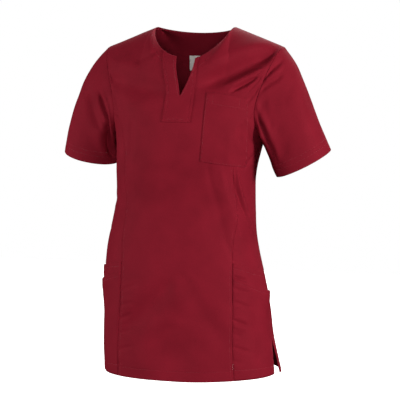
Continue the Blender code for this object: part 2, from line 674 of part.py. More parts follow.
def side_pocket_grid(pocket, drop):
    """Grid of a side pocket: from the hem up to its slanting edge, between princess and side seam."""
    across = np.linspace(POCKET_SIDE_INSET, 1 - POCKET_SIDE_INSET, SIDE_COLUMNS + 1)[None, :]
    up = np.linspace(0, 1, POCKET_ROWS + 1)[:, None]
    bottom = HEM + POCKET_HEM_INSET
    height = bottom + (pocket_edge(pocket, across, drop) - bottom) * up
    seam = princess_share(height, pocket.side)
    outer, out = cloth_surface(pocket.side * (seam + across * (1 - seam)), height, "front")
    gape = pocket_gape(pocket, across, height, 0.0)
    if drop:
        gape = gape + pocket_gape(pocket, across, height, drop) + CLOTH + LAYER_GAP
    return outer + out * gape[..., None], out


def build_side_pockets(pocket, material, collection):
    """The side pocket and the outer pocket that lies on it, a little lower."""
    for name, drop in (("side_pocket_", 0.0), ("outer_pocket_", pocket.outer_drop)):
        outer, out = side_pocket_grid(pocket, drop)
        cloth_wall(name + pocket.tag, outer, out, material, collection, lift=LAYER_GAP)


def build_back_facing(material, collection):
    """Facing on the inside of the back, as deep as the topmost rows and as wide as the neck."""
    share = np.linspace(-1, 1, 2 * BACK_COLUMNS + 1)
    share = share[np.abs(share) < NECK_SHARE + TINY]
    outer, out = cloth_surface(share[None, :], yoke_heights()[-FACING_ROWS - 1 :, None], "back")
    outer = inset_edge(outer, 1, 0, FACING_INSET)
    outer = inset_edge(outer, 1, 1, FACING_INSET)
    cloth_wall("back_neck_facing", outer - out * (CLOTH + LAYER_GAP), out, material, collection)


def build_label(material, collection):
    """Blank woven label that hangs from the middle of the facing's lower edge."""
    lower_edge = yoke_heights()[-FACING_ROWS - 1]
    top, out = cloth_surface(np.array([0.0]), np.array([lower_edge]), "back")
    x = LABEL_WIDTH * np.linspace(-0.5, 0.5, LABEL_COLUMNS + 1)[None, :]
    drop = LABEL_DROP * np.linspace(1, 0, LABEL_ROWS + 1)[:, None]
    inside = top[0] - out[0] * (2 * CLOTH + LAYER_GAP + LABEL_GAP)
    outer = inside + stack(x, LABEL_LEAN * drop, -drop)
    out = np.broadcast_to(np.array([0.0, -1.0, -LABEL_LEAN]), outer.shape)
    cloth_wall("neck_label", outer, -out, material, collection, thickness=LABEL_THICKNESS)


# ------------------------------------------------------------------ the tunic
def surface_material(name, colour, roughness):
    material = bpy.data.materials.new(name)
    material.use_nodes = True
    shader = material.node_tree.nodes["Principled BSDF"]
    shader.inputs["Base Color"].default_value = (*colour, 1.0)
    shader.inputs["Roughness"].default_value = roughness
    shader.inputs["Metallic"].default_value = 0.0
    return material


def clear_scene():
    for item in list(bpy.data.objects):
        bpy.data.objects.remove(item)


def build():
    clear_scene()
    collection = bpy.data.collections.new("scrub_tunic")
    bpy.context.scene.collection.children.link(collection)
    twill = surface_material("wine_red_twill", WINE_RED, 0.78)
    satin = surface_material("white_satin_tape", LABEL_WHITE, 0.5)
    build_centre_front(twill, collection)
    build_back(twill, collection)
    for sleeve in SLEEVES:
        build_sleeve(sleeve, twill, collection)
        build_side_front("side_front_" + sleeve.tag, sleeve.side, twill, collection)
    for pocket in SIDE_POCKETS:
        build_side_pockets(pocket, twill, collection)
    build_placket(twill, collection)
    build_chest_pocket(twill, collection)
    build_back_facing(twill, collection)
    build_label(satin, collection)


build()
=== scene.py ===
"""The looks of a short-sleeved scrub tunic: its cut pieces as thin sewn cloth, its stitches and stage.

Metres, +Z up, the front facing -Y and +X on the wearer's left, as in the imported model. Every piece is a grid
of points on the tunic's form. Its edges are turned under as a maker turns them, its creases are lifted off
the form, and the grid is then given the cloth's thickness. Stitches are laid along lines of the same grids.
"""

import json
import math
from collections import namedtuple

import bpy
import numpy as np
from bpy.props import FloatProperty, FloatVectorProperty, PointerProperty
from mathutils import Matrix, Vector

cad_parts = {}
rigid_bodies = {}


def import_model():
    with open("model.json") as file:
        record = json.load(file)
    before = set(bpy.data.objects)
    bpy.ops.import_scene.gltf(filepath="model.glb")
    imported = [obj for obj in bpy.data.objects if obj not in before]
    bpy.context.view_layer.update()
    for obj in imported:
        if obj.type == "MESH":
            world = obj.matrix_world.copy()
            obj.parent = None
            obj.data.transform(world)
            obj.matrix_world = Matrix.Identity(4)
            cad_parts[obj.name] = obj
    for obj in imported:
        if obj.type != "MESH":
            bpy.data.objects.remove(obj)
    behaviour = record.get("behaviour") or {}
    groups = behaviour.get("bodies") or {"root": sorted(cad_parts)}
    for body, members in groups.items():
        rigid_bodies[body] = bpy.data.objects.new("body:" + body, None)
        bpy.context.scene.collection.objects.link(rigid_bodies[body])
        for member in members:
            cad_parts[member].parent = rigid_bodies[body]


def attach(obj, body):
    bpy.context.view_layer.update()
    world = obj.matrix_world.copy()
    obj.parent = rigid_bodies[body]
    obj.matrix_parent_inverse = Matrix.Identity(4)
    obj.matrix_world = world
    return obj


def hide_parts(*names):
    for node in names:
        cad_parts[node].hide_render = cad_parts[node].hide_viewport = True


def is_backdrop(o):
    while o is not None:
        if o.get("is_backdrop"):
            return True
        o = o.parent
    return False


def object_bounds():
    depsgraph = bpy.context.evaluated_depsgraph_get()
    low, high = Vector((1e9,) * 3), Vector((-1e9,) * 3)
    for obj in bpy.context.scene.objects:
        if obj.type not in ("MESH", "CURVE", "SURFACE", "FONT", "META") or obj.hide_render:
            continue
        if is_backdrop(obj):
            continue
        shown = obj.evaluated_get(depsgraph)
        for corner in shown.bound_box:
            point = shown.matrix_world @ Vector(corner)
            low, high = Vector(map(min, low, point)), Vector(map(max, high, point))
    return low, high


bl_info = {
    "name": "Scrub tunic",
    "version": (1, 0, 0),
    "blender": (4, 5, 0),
    "location": "View3D > Sidebar > Tunic",
    "description": "Builds the cloth, stitching, label and stage of a short-sleeved scrub tunic",
    "category": "Add Mesh",
}

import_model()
CAD_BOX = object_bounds()

MM = 0.001

# ------------------------------------------------------------------ the tunic's own sizes
HEM = -0.730
ARMPIT = -0.225
CHEST = -0.140  # across-chest line, where the sections end and the yoke begins
VENT_TOP = HEM + 0.075
VENT_OPENING = math.radians(5.0)  # how far the front edge of a side vent stands back from the seam
VENT_FLARE = 7 * MM  # how far the back edge of a side vent swings out
FLARE_START = math.radians(63.0)  # angle from the centre line at which that flare sets in
HEM_RISE = 6 * MM  # how much higher the hem hangs on the wearer's left
HEM_RISE_TOP = -0.50  # where that starts
HEM_RISE_AT = 0.180  # how far from the centre line the rise is full

NECK_HALF_WIDTH = 0.085
SHOULDER_SEAM_Y = 0.010
SHOULDER_TIP = (0.190, SHOULDER_SEAM_Y, -0.041)
FRONT_NECK_REACH = 0.098
FRONT_NECK_DEPTH_LEFT, FRONT_NECK_DEPTH_RIGHT = 0.068, 0.060  # the slit's right corner hangs higher
BACK_NECK_DEPTH, BACK_NECK_REACH = 0.012, 0.052
NECK_SHARE = 0.5  # the neck point's share of the way from centre line to shoulder tip
NECK_LEAN = math.radians(22.5)  # of the cloth at the neckline's middle, inwards
NECK_DIP = 1.5  # power of the neckline's curve: over 1 keeps it high at the neck points for longer
YOKE_START = 4 * MM  # height below the chest line that gives the yoke its direction there
YOKE_REACH = 0.40  # of the yoke curve's handles, as a share of its length

FRONT_LEFT_ARMHOLE = math.radians(57.0)
FRONT_RIGHT_ARMHOLE = math.radians(64.0)
BACK_ARMHOLE = math.radians(60.0)
PRINCESS_TOP = -0.170  # where the princess seam runs into the armhole

SLIT_BOTTOM = CHEST
SLIT_OPEN = {1: 0.026, -1: 0.013}  # how far its left (1) and right (-1) edge fall open at the neckline
SLIT_CURVE = 0.8  # power of its edges' curve

Section = namedtuple("Section", "height half_width front_depth back_depth front_square back_square")
SECTIONS = [
    Section(HEM, 0.187, 0.128, 0.130, 2.45, 2.25),
    Section(-0.680, 0.184, 0.125, 0.129, 2.45, 2.25),
    Section(-0.620, 0.180, 0.123, 0.129, 2.40, 2.25),
    Section(-0.560, 0.176, 0.120, 0.127, 2.35, 2.25),
    Section(-0.500, 0.169, 0.115, 0.118, 2.30, 2.25),
    Section(-0.445, 0.160, 0.109, 0.104, 2.30, 2.25),
    Section(-0.395, 0.152, 0.104, 0.094, 2.30, 2.25),
    Section(-0.355, 0.149, 0.105, 0.092, 2.30, 2.25),
    Section(-0.310, 0.149, 0.112, 0.096, 2.30, 2.25),
    Section(-0.265, 0.153, 0.119, 0.102, 2.30, 2.25),
    Section(-0.225, 0.159, 0.121, 0.108, 2.30, 2.25),
    Section(-0.185, 0.170, 0.115, 0.111, 2.30, 2.20),
    Section(CHEST, 0.184, 0.100, 0.108, 2.30, 2.20),
]
Sway = namedtuple("Sway", "height offset")
SWAYS = [
    Sway(HEM, -0.006),
    Sway(-0.640, -0.0145),
    Sway(-0.590, -0.017),
    Sway(-0.540, -0.0215),
    Sway(-0.490, -0.025),
    Sway(-0.440, -0.026),
    Sway(-0.390, -0.021),
    Sway(-0.300, -0.018),
    Sway(-0.220, -0.008),
    Sway(CHEST, -0.002),
    Sway(0.0, 0.0),
]
Seam = namedtuple("Seam", "height left right")
PRINCESS = [
    Seam(HEM, 0.122, 0.131),
    Seam(-0.640, 0.125, 0.124),
    Seam(-0.560, 0.128, 0.112),
    Seam(-0.480, 0.130, 0.106),
    Seam(-0.395, 0.130, 0.108),
    Seam(-0.310, 0.124, 0.110),
    Seam(-0.250, 0.121, 0.113),
    Seam(-0.205, 0.129, 0.127),
]
FOLD_LEVEL, FOLD_END = 0.4, 1.25  # half lengths from its middle where a fold starts to die out and is gone
Fold = namedtuple("Fold", "x0 z0 x1 z1 width height")
FRONT_FOLDS = [
    Fold(0.160, -0.070, 0.045, -0.112, 0.016, -4.0 * MM),
    Fold(0.150, -0.035, 0.060, -0.080, 0.016, 3.0 * MM),
    Fold(-0.160, -0.120, -0.105, -0.200, 0.016, -2.5 * MM),
    Fold(0.098, -0.315, 0.140, -0.430, 0.017, 3.5 * MM),
    Fold(0.068, -0.330, 0.108, -0.460, 0.018, -3.0 * MM),
    Fold(-0.105, -0.320, -0.130, -0.430, 0.018, -2.5 * MM),
    Fold(-0.120, -0.680, 0.000, -0.560, 0.035, -4.0 * MM),
    Fold(0.105, -0.690, 0.010, -0.560, 0.035, -4.0 * MM),
    Fold(-0.050, -0.670, 0.050, -0.670, 0.045, -4.0 * MM),
]
BACK_FOLDS = [
    Fold(-0.150, -0.120, -0.060, -0.205, 0.016, -3.0 * MM),
    Fold(0.150, -0.115, 0.070, -0.215, 0.016, -3.0 * MM),
    Fold(-0.115, -0.345, 0.020, -0.375, 0.014, -3.5 * MM),
    Fold(-0.030, -0.405, 0.120, -0.380, 0.015, 3.5 * MM),
    Fold(-0.125, -0.440, -0.030, -0.425, 0.014, 3.0 * MM),
    Fold(0.060, -0.700, 0.045, -0.520, 0.026, 4.0 * MM),
    Fold(-0.065, -0.700, -0.050, -0.530, 0.026, 4.0 * MM),
]
Sleeve = namedtuple("Sleeve", "tag side cuff_x cuff_y cuff_z lean back head_x head_z head_reach")
SLEEVES = [
    Sleeve("left", 1, 0.233, 0.004, -0.281, math.radians(25), math.radians(13), 0.62, -0.78, 0.22),
    Sleeve("right", -1, 0.234, 0.004, -0.275, math.radians(12), math.radians(12), 0.78, -0.62, 0.30),
]
CUFF_ACROSS, CUFF_DEEP = 0.062, 0.049  # half sizes of the cuff
SLEEVE_FULLNESS = 0.10  # how much the sleeve leaves the armhole to the front and the back
UNDERARM_REACH, CUFF_REACH = 0.22, 0.33  # of the sleeve curve's handles, as shares of its length
SLEEVE_FOLDS_START = 1 / 6  # share of the way down at which the folds have their height
# On a sleeve a fold's x is the turn round it and z the share of the way from armhole to cuff
SLEEVE_FOLDS = [
    Fold(0.20, 0.05, 0.36, 0.42, 0.045, -3.5 * MM),
    Fold(0.10, 0.20, 0.24, 0.62, 0.045, 3.0 * MM),
    Fold(0.80, 0.05, 0.66, 0.50, 0.050, -3.5 * MM),
    Fold(0.90, 0.25, 0.78, 0.65, 0.045, 2.5 * MM),
]

PLACKET_HALF_WIDTH = 0.030
PLACKET_TOP_RIGHT = 0.044  # its half width at the neckline on the wearer's right
PLACKET_LEAST_SHARE = 0.03  # of the half's width, left of it where the slit falls open
PLACKET_BOTTOM = -0.193
Corner = namedtuple("Corner", "x z")
# Of the chest pocket: inner and outer corner at the bottom, then at the top
CHEST_POCKET_CORNERS = [Corner(0.060, -0.272), Corner(0.143, -0.287)]
CHEST_POCKET_CORNERS += [Corner(0.056, -0.132), Corner(0.139, -0.145)]
SidePocket = namedtuple("SidePocket", "tag side front_edge side_edge front_drop side_drop gape")
SIDE_POCKETS = [
    SidePocket("left", 1, -0.484, -0.516, 0.027, 0.040, 7.5 * MM),
    SidePocket("right", -1, -0.487, -0.512, 0.021, 0.034, 2.0 * MM),
]
FACING_DEPTH, FACING_FLARE = 0.052, 0.034  # at its middle, and how much deeper it is at the neck points
FLARE_FROM, FLARE_OVER = 0.010, 0.032  # distances from the neckline over which the flare sets in

# ------------------------------------------------------------------ how the cloth is sewn
TURN_GAP = 0.9 * MM  # between the cloth and its edge turned under it, middle to middle
SEAM_TURN = 9 * MM  # width turned under at a seam
SEAM_CLEAR = 0.23 * MM  # from the seam's line to the fold's middle
HEM_TURN = 22 * MM
CUFF_TURN = 27 * MM
NECK_TURN = 25 * MM
LIFT_ON_PANEL = 1.75 * MM  # middle of a pocket or placket over the middle of the panel it lies on
SLEEVE_SEAM = 0.25 * MM  # between a sleeve's fold and the armhole's
GROOVE_WIDTH, GROOVE_DEPTH = 1.3 * MM, 0.35 * MM  # of the line that stitches pull into the cloth
PUCKER_LENGTH = 15 * MM  # from one pucker to the next along a stitched seam
PUCKER_REACH = 9 * MM  # distance from the seam at which puckers have mostly died out
PUCKER_HEIGHT = 0.30 * MM
PUCKER_STRAY, PUCKER_STRAY_RATE = 1.9, 61  # radians that their places stray, and how often along a seam
PUCKER_MEAN, PUCKER_SPREAD = 0.55, 0.45  # shares of that height: their mean, and how far they vary
PUCKER_SPREAD_RATE, PUCKER_SPREAD_START = 47, 0.8  # how often along a seam, and where that starts

# Slight unevenness of worn cloth: its height, and the waves along u and v. Each wave says how often it
# comes, how far and how often the other direction bends it, and where that bend starts.
Wave = namedtuple("Wave", "rate bend bend_rate bend_start")
SLACK = [
    (0.55 * MM, Wave(38, 1.7, 21, 0.6), Wave(27, 1.3, 17, 2.1)),
    (0.16 * MM, Wave(96, 2.3, 41, 0.0), Wave(73, 1.9, 52, 1.1)),
]

CREASE_ENDS, CREASE_MIDDLE = 0.65, 0.5  # shares of its width: at its ends, and what the middle gains
CREASE_IN, CREASE_IN_OVER = 0.35, 0.22  # how it sets in: part there at once, and share of its length taken
CREASE_OUT, CREASE_OUT_OVER = 0.25, 0.40  # how it dies out
BESIDE_SHARE, BESIDE_AT = 0.22, 2.1  # the opposite swell beside it: of its height, and widths away
Crease = namedtuple("Crease", "share0 z0 share1 z1 bow width height")


def creases(rows):
    """Creases from rows of a table, which gives their widths and heights in mm."""
    return [Crease(*row[:5], row[5] * MM, row[6] * MM) for row in rows]


HALF_GIRTH = 0.23  # length of cloth from the centre line to the side seam, which a share counts in
FRONT_CREASES = creases([
    # from the wearer's left armhole towards the slit
    (0.985, -0.052, 0.20, -0.123, 0.00, 15.5, -14.0),
    (0.94, -0.083, 0.475, -0.122, 0.00, 4.6, 4.4),
    (0.90, -0.101, 0.58, -0.132, 0.00, 4.2, -10.0),
    (0.94, -0.094, 0.69, -0.118, 0.00, 3.4, 2.4),
    (0.955, -0.099, 0.815, -0.132, 0.00, 3.0, -2.8),
    (1.00, -0.118, 0.86, -0.156, 0.03, 4.0, -2.6),
    (0.20, -0.083, 0.38, -0.076, 0.02, 3.0, -0.9),
    (0.30, -0.072, 0.55, -0.060, 0.02, 3.4, -1.0),
    # over and below the chest pocket
    (0.76, -0.196, 0.64, -0.240, 0.03, 6.0, -2.2),
    (0.58, -0.215, 0.54, -0.285, 0.02, 8.0, 1.4),
    (0.86, -0.184, 0.77, -0.232, -0.03, 5.0, 2.2),
    (0.655, -0.290, 0.99, -0.444, 0.06, 4.6, 4.0),
    (0.60, -0.300, 0.810, -0.396, 0.05, 4.0, -2.2),
    (0.47, -0.292, 0.76, -0.440, 0.04, 9.0, 1.6),
    (0.325, -0.275, 0.590, -0.483, 0.00, 8.0, -1.7),
    (0.88, -0.262, 0.74, -0.292, 0.03, 5.0, -1.8),
    # under the wearer's right shoulder and arm
    (-1.00, -0.106, -0.15, -0.130, 0.015, 16.0, -7.0),
    (-0.95, -0.068, -0.45, -0.088, -0.03, 9.0, 2.0),
    (-0.25, -0.050, -0.62, -0.080, 0.02, 5.0, -1.4),
    (-0.99, -0.140, -0.84, -0.182, 0.03, 4.5, 3.0),
    (-0.98, -0.152, -0.78, -0.198, 0.02, 3.8, -3.0),
    (-0.66, -0.220, -0.56, -0.254, 0.02, 4.2, -1.1),
    (-0.54, -0.188, -0.43, -0.266, 0.02, 9.0, -2.2),
    (-0.72, -0.214, -0.62, -0.335, 0.03, 6.5, 2.4),
    (-0.92, -0.345, -0.66, -0.392, 0.05, 6.0, -2.4),
    (-0.92, -0.372, -0.72, -0.432, 0.04, 7.0, 2.0),
    # the hollow under the belly, and long soft flutes of the skirt
    (0.03, -0.520, -0.46, -0.640, -0.03, 16.0, -4.8),
    (0.115, -0.505, 0.445, -0.661, 0.03, 14.0, -3.0),
    (-0.04, -0.610, 0.05, -0.722, 0.00, 26.0, -4.0),
    (-0.70, -0.560, -0.66, -0.716, 0.00, 13.0, 2.0),
    (0.74, -0.560, 0.78, -0.716, 0.00, 12.0, -2.0),
    (-0.10, -0.215, 0.08, -0.262, 0.03, 16.0, -1.0),
])
BACK_CREASES = creases([
    (0.98, -0.095, 0.60, -0.165, 0.03, 6.0, -2.2),
    (0.97, -0.125, 0.70, -0.190, 0.03, 5.0, 1.9),
    (0.97, -0.158, 0.74, -0.215, 0.02, 4.0, -1.8),
    (-0.98, -0.100, -0.55, -0.175, -0.03, 6.5, -2.4),
    (-0.97, -0.132, -0.74, -0.186, -0.03, 5.0, 1.8),
    (-0.99, -0.158, -0.70, -0.225, -0.02, 4.2, -1.6),
    (-0.30, -0.070, 0.26, -0.078, -0.05, 11.0, -2.0),
    (-0.18, -0.112, 0.30, -0.104, -0.04, 12.0, 1.4),
    (-0.95, -0.305, -0.35, -0.352, -0.04, 8.0, -2.2),
    (-0.90, -0.348, -0.28, -0.385, -0.04, 7.0, 2.0),
    (-0.97, -0.392, -0.42, -0.408, -0.03, 6.0, -1.8),
    (-0.22, -0.362, 0.24, -0.372, -0.06, 9.0, -2.0),
    (-0.14, -0.396, 0.36, -0.402, -0.05, 8.0, 1.8),
    (0.78, -0.322, 0.30, -0.362, 0.04, 7.5, -2.2),
    (0.80, -0.360, 0.40, -0.398, 0.04, 6.5, 1.9),
    (0.78, -0.406, 0.46, -0.436, 0.03, 6.0, -1.6),
    (0.30, -0.430, 0.05, -0.448, 0.04, 8.0, -1.5),
    (-0.52, -0.520, -0.48, -0.716, 0.00, 15.0, -2.0),
    (-0.16, -0.540, -0.12, -0.716, 0.00, 17.0, -2.2),
    (0.10, -0.560, 0.13, -0.716, 0.00, 13.0, 1.6),
    (0.44, -0.530, 0.49, -0.716, 0.00, 15.0, -2.0),
    (0.74, -0.560, 0.77, -0.716, 0.00, 12.0, 1.6),
])

# Short puckers that lie across a princess seam's stitches: the side, their z, length out, fall and height
Pucker = namedtuple("Pucker", "side z length fall height")
SEAM_PUCKERS = [
    Pucker(1, -0.458, 0.018, 0.008, -1.0 * MM),
    Pucker(1, -0.481, 0.024, 0.004, -1.8 * MM),
    Pucker(1, -0.511, 0.042, 0.014, -2.6 * MM),
    Pucker(1, -0.534, 0.046, 0.015, -1.5 * MM),
    Pucker(1, -0.561, 0.046, 0.017, -1.8 * MM),
    Pucker(1, -0.599, 0.036, 0.014, -2.6 * MM),
    Pucker(1, -0.611, 0.032, 0.012, 1.6 * MM),
    Pucker(1, -0.627, 0.022, 0.006, -1.4 * MM),
    Pucker(1, -0.654, 0.042, 0.014, -2.1 * MM),
    Pucker(1, -0.684, 0.020, 0.004, -1.2 * MM),
    Pucker(-1, -0.548, -0.042, -0.019, -1.2 * MM),
    Pucker(-1, -0.579, -0.034, -0.010, -1.0 * MM),
    Pucker(-1, -0.609, -0.030, -0.015, -1.5 * MM),
    Pucker(-1, -0.638, -0.034, -0.009, -1.3 * MM),
    Pucker(-1, -0.673, -0.039, -0.011, -1.5 * MM),
    Pucker(-1, -0.703, -0.014, -0.003, -1.0 * MM),
]
PUCKER_WIDTH, PUCKER_BOW = 3.2 * MM, 0.03

# On a sleeve a share is the turn round it, 0 at the underarm seam and 0.5 at the shoulder tip, and z
# is the share of the way from armhole to cuff
SLEEVE_ROUND, SLEEVE_LONG = 0.40, 0.20  # lengths of cloth that one turn and the whole way count as
SLEEVE_CREASES = {
    "left": creases([
        (0.433, 0.118, 0.300, -0.03, 0.02, 4.8, -4.0),
        (0.410, 0.160, 0.285, 0.00, 0.02, 3.8, 2.4),
        (0.390, 0.215, 0.254, 0.00, 0.02, 4.6, -3.8),
        (0.205, 0.033, 0.196, 0.50, 0.03, 5.0, 2.2),
        (0.172, 0.150, 0.140, 0.80, 0.02, 6.0, -4.6),
        (0.262, 0.200, 0.320, 0.46, 0.02, 9.0, 1.4),
        (0.245, 0.460, 0.210, 0.80, 0.02, 12.0, -2.0),
        (0.425, 0.380, 0.330, 0.86, 0.03, 16.0, 2.2),
        (0.480, 0.500, 0.440, 0.92, 0.02, 14.0, -1.6),
        (0.510, 0.120, 0.530, 1.20, 0.00, 40.0, 4.2),
        (0.110, 0.120, 0.150, 0.45, 0.03, 5.0, 1.8),
        (0.640, 0.100, 0.780, 0.32, 0.04, 6.0, -2.0),
        (0.700, 0.060, 0.830, 0.26, 0.04, 5.0, 1.7),
        (0.760, 0.380, 0.700, 0.86, 0.02, 12.0, -1.8),
        (0.850, 0.240, 0.800, 0.66, 0.03, 8.0, 1.6),
        (0.930, 0.120, 0.890, 0.50, 0.03, 5.0, -1.6),
    ]),
    "right": creases([
        (0.305, 0.225, 0.160, 0.260, 0.02, 6.0, -4.4),
        (0.370, 0.330, 0.183, 0.492, 0.03, 9.0, -2.0),
        (0.165, 0.280, 0.060, 0.860, 0.02, 10.0, -9.0),
        (0.375, 0.120, 0.315, 0.700, 0.03, 14.0, 0.8),
        (0.350, 0.400, 0.270, 0.780, 0.02, 14.0, -0.9),
        (0.230, 0.360, 0.180, 0.760, 0.02, 9.0, 1.0),
        (0.420, 0.480, 0.400, 0.900, 0.02, 14.0, 1.2),
        (0.500, 0.400, 0.500, 1.300, 0.00, 38.0, -3.6),
        (0.620, 0.120, 0.760, 0.340, 0.04, 6.0, -2.0),
        (0.690, 0.070, 0.820, 0.240, 0.04, 5.0, 1.6),
        (0.740, 0.420, 0.690, 0.840, 0.02, 12.0, -1.8),
        (0.840, 0.300, 0.800, 0.700, 0.03, 8.0, 1.5),
        (0.940, 0.150, 0.900, 0.550, 0.03, 5.0, -1.5),
    ]),
}


# ------------------------------------------------------------------ small tools
def smooth_through(places, values, at):
    """A smooth curve through the given values: cubic between neighbours, with their mean slope."""
    places, values = np.asarray(places, float), np.asarray(values, float)
    slopes = np.gradient(values, places)
    at = np.clip(at, places[0], places[-1])
    i = np.clip(np.searchsorted(places, at, side="right") - 1, 0, len(places) - 2)
    span = places[i + 1] - places[i]
    t = (at - places[i]) / span
    start = (1 + 2 * t) * (1 - t) ** 2 * values[i] + t * (1 - t) ** 2 * span * slopes[i]
    end = t**2 * (3 - 2 * t) * values[i + 1] + t**2 * (t - 1) * span * slopes[i + 1]
    return start + end


def table_curve(table, place, column, at):
    return smooth_through([getattr(r, place) for r in table], [getattr(r, column) for r in table], at)


def smooth_step(t):
    t = np.clip(t, 0.0, 1.0)
    return t * t * (3 - 2 * t)


def mixed(first, last, share):
    """The first value at share 0 and the last at 1."""
    return first * (1 - share) + last * share


TINY = 1e-12


def unit(v):
    return v / np.maximum(np.linalg.norm(v, axis=-1, keepdims=True), TINY)


def bezier(p0, p1, p2, p3, t):
    t = np.asarray(t)[..., None]
    return (1 - t) ** 3 * p0 + 3 * t * (1 - t) ** 2 * p1 + 3 * t**2 * (1 - t) * p2 + t**3 * p3


def stack(x, y, z):
    return np.stack(np.broadcast_arrays(np.asarray(x, float), y, z), axis=-1)


def lengths_along(points):
    """Length run along each of several curves, at each of their points."""
    steps = np.linalg.norm(np.diff(points, axis=1), axis=2)
    return np.concatenate([np.zeros((len(points), 1)), np.cumsum(steps, axis=1)], axis=1)


def read_off(lengths, values, wanted):
    """The value at each wanted length, curve by curve."""
    return np.stack([np.interp(w, run, v) for w, run, v in zip(wanted, lengths, values)])


# ------------------------------------------------------------------ folds and creases
def fold_lift(folds, x, z):
    """How far the form's main folds lift the cloth at x, z."""
    lift = np.zeros(np.broadcast(x, z).shape)
    for f in folds:
        run = np.array([f.x1 - f.x0, f.z1 - f.z0])
        length = np.linalg.norm(run)
        along = ((x - f.x0) * run[0] + (z - f.z0) * run[1]) / length**2
        across = ((x - f.x0) * run[1] - (z - f.z0) * run[0]) / length
        ends = smooth_step((FOLD_END - np.abs(2 * along - 1)) / (FOLD_END - FOLD_LEVEL))
        lift = lift + f.height * np.exp(-((across / f.width) ** 2)) * ends
    return lift


def crease_lift(table, u, v, place):
    """How far creases lift the cloth at u, v, where place puts a table's share and z."""
    lift = np.zeros(u.shape)
    for c in table:
        u0, v0 = place(c.share0, c.z0)
        u1, v1 = place(c.share1, c.z1)
        run_u, run_v = u1 - u0, v1 - v0
        length = math.hypot(run_u, run_v)
        along = ((u - u0) * run_u + (v - v0) * run_v) / length**2
        across = ((u - u0) * run_v - (v - v0) * run_u) / length
        middle = np.clip(1 - (2 * along - 1) ** 2, 0.0, 1.0)
        width = c.width * (CREASE_ENDS + CREASE_MIDDLE * middle)
        off = np.abs(across - c.bow * length * middle) / width
        ends = smooth_step(along / CREASE_IN_OVER + CREASE_IN)
        ends = ends * smooth_step((1 - along) / CREASE_OUT_OVER + CREASE_OUT)
        shape = np.exp(-(off**2)) - BESIDE_SHARE * np.exp(-((off - BESIDE_AT) ** 2))
        lift = lift + c.height * ends * shape
    return lift


def bent_wave(wave, along, across):
    return np.sin(along * wave.rate + wave.bend * np.sin(across * wave.bend_rate + wave.bend_start))


def slack_lift(u, v):
    """Slight unevenness of worn cloth, in places a hand's breadth and a finger's breadth apart."""
    return sum(high * (bent_wave(over_u, u, v) * bent_wave(over_v, v, u)) for high, over_u, over_v in SLACK)


def seam_pucker(along, distance):
    """Puckers that stitches draw beside a seam, uneven in length and depth."""
    wave = np.sin(2 * math.pi * along / PUCKER_LENGTH + PUCKER_STRAY * np.sin(along * PUCKER_STRAY_RATE))
    uneven = PUCKER_MEAN + PUCKER_SPREAD * np.sin(along * PUCKER_SPREAD_RATE + PUCKER_SPREAD_START)
    return PUCKER_HEIGHT * wave * uneven * np.exp(-distance / PUCKER_REACH)


# ------------------------------------------------------------------ the torso's form
FACING = {"front": -1.0, "back": 1.0}  # the way along Y that a half faces


def down_vent(height):
    """Share of the way down a side vent, from its top to the hem."""
    return np.clip((VENT_TOP - height) / (VENT_TOP - HEM), 0.0, 1.0)


def up_yoke(height):
    """Share of the way up the yoke, from the chest line to height 0."""
    return np.clip((height - CHEST) / -CHEST, 0.0, 1.0)


def armhole_angle(height, half, side):
    """Angle from the centre line to a half's outer edge: the side seam, then round the armhole."""
    at_chest = BACK_ARMHOLE
    if half == "front":
        at_chest = np.where(side > 0, FRONT_LEFT_ARMHOLE, FRONT_RIGHT_ARMHOLE)
    rise = np.clip((height - ARMPIT) / (CHEST - ARMPIT), 0.0, 1.0)
    return math.pi / 2 - (math.pi / 2 - at_chest) * np.sqrt(1 - (1 - rise) ** 2)


def edge_angle(height, half, side):
    """As armhole_angle, with the front edge set back where the side vent opens."""
    opening = VENT_OPENING * down_vent(height) if half == "front" else 0.0
    return armhole_angle(height, half, side) - opening


def section_point(angle, height, half):
    """Point of the form on a horizontal section, angle 0 at the centre line and 90 degrees at the side."""
    width = table_curve(SECTIONS, "height", "half_width", height)
    depth = table_curve(SECTIONS, "height", half + "_depth", height)
    square = table_curve(SECTIONS, "height", half + "_square", height)
    if half == "back":
        near_seam = smooth_step((np.abs(angle) - FLARE_START) / (math.pi / 2 - FLARE_START))
        width = width + VENT_FLARE * down_vent(height) * near_seam
    reach = np.clip(1 - np.abs(np.sin(angle)) ** square, 0.0, 1.0) ** (1 / square)
    return stack(width * np.sin(angle), FACING[half] * depth * reach, height)


def hem_rise(point):
    """How far the hip on the wearer's left lifts the hem below it."""
    low = smooth_step((HEM_RISE_TOP - point[..., 2]) / (HEM_RISE_TOP - HEM))
    return HEM_RISE * low * smooth_step(point[..., 0] / HEM_RISE_AT)


def neckline(share, half, side):
    """Neckline of a side, share 0 at the centre line and 1 at the neck point."""
    turn = math.pi / 2 * share
    front = half == "front"
    reach = FRONT_NECK_REACH if front else -BACK_NECK_REACH
    front_depth = np.where(np.asarray(side) > 0, FRONT_NECK_DEPTH_LEFT, FRONT_NECK_DEPTH_RIGHT)
    depth = front_depth if front else BACK_NECK_DEPTH
    y = SHOULDER_SEAM_Y - reach * np.cos(turn)
    return stack(NECK_HALF_WIDTH * np.sin(turn), y, -depth * np.cos(turn) ** NECK_DIP)


def top_edge(share, half, side):
    """Neckline, then shoulder seam of a side: share 0 at the centre line, 1 at the shoulder tip."""
    neck_point = np.array([NECK_HALF_WIDTH, SHOULDER_SEAM_Y, 0.0])
    along = np.clip((share - NECK_SHARE) / (1 - NECK_SHARE), 0.0, 1.0)[..., None]
    shoulder = mixed(neck_point, np.array(SHOULDER_TIP), along)
    neck = neckline(np.minimum(share / NECK_SHARE, 1.0), half, side)
    return np.where(share[..., None] < NECK_SHARE, neck, shoulder)


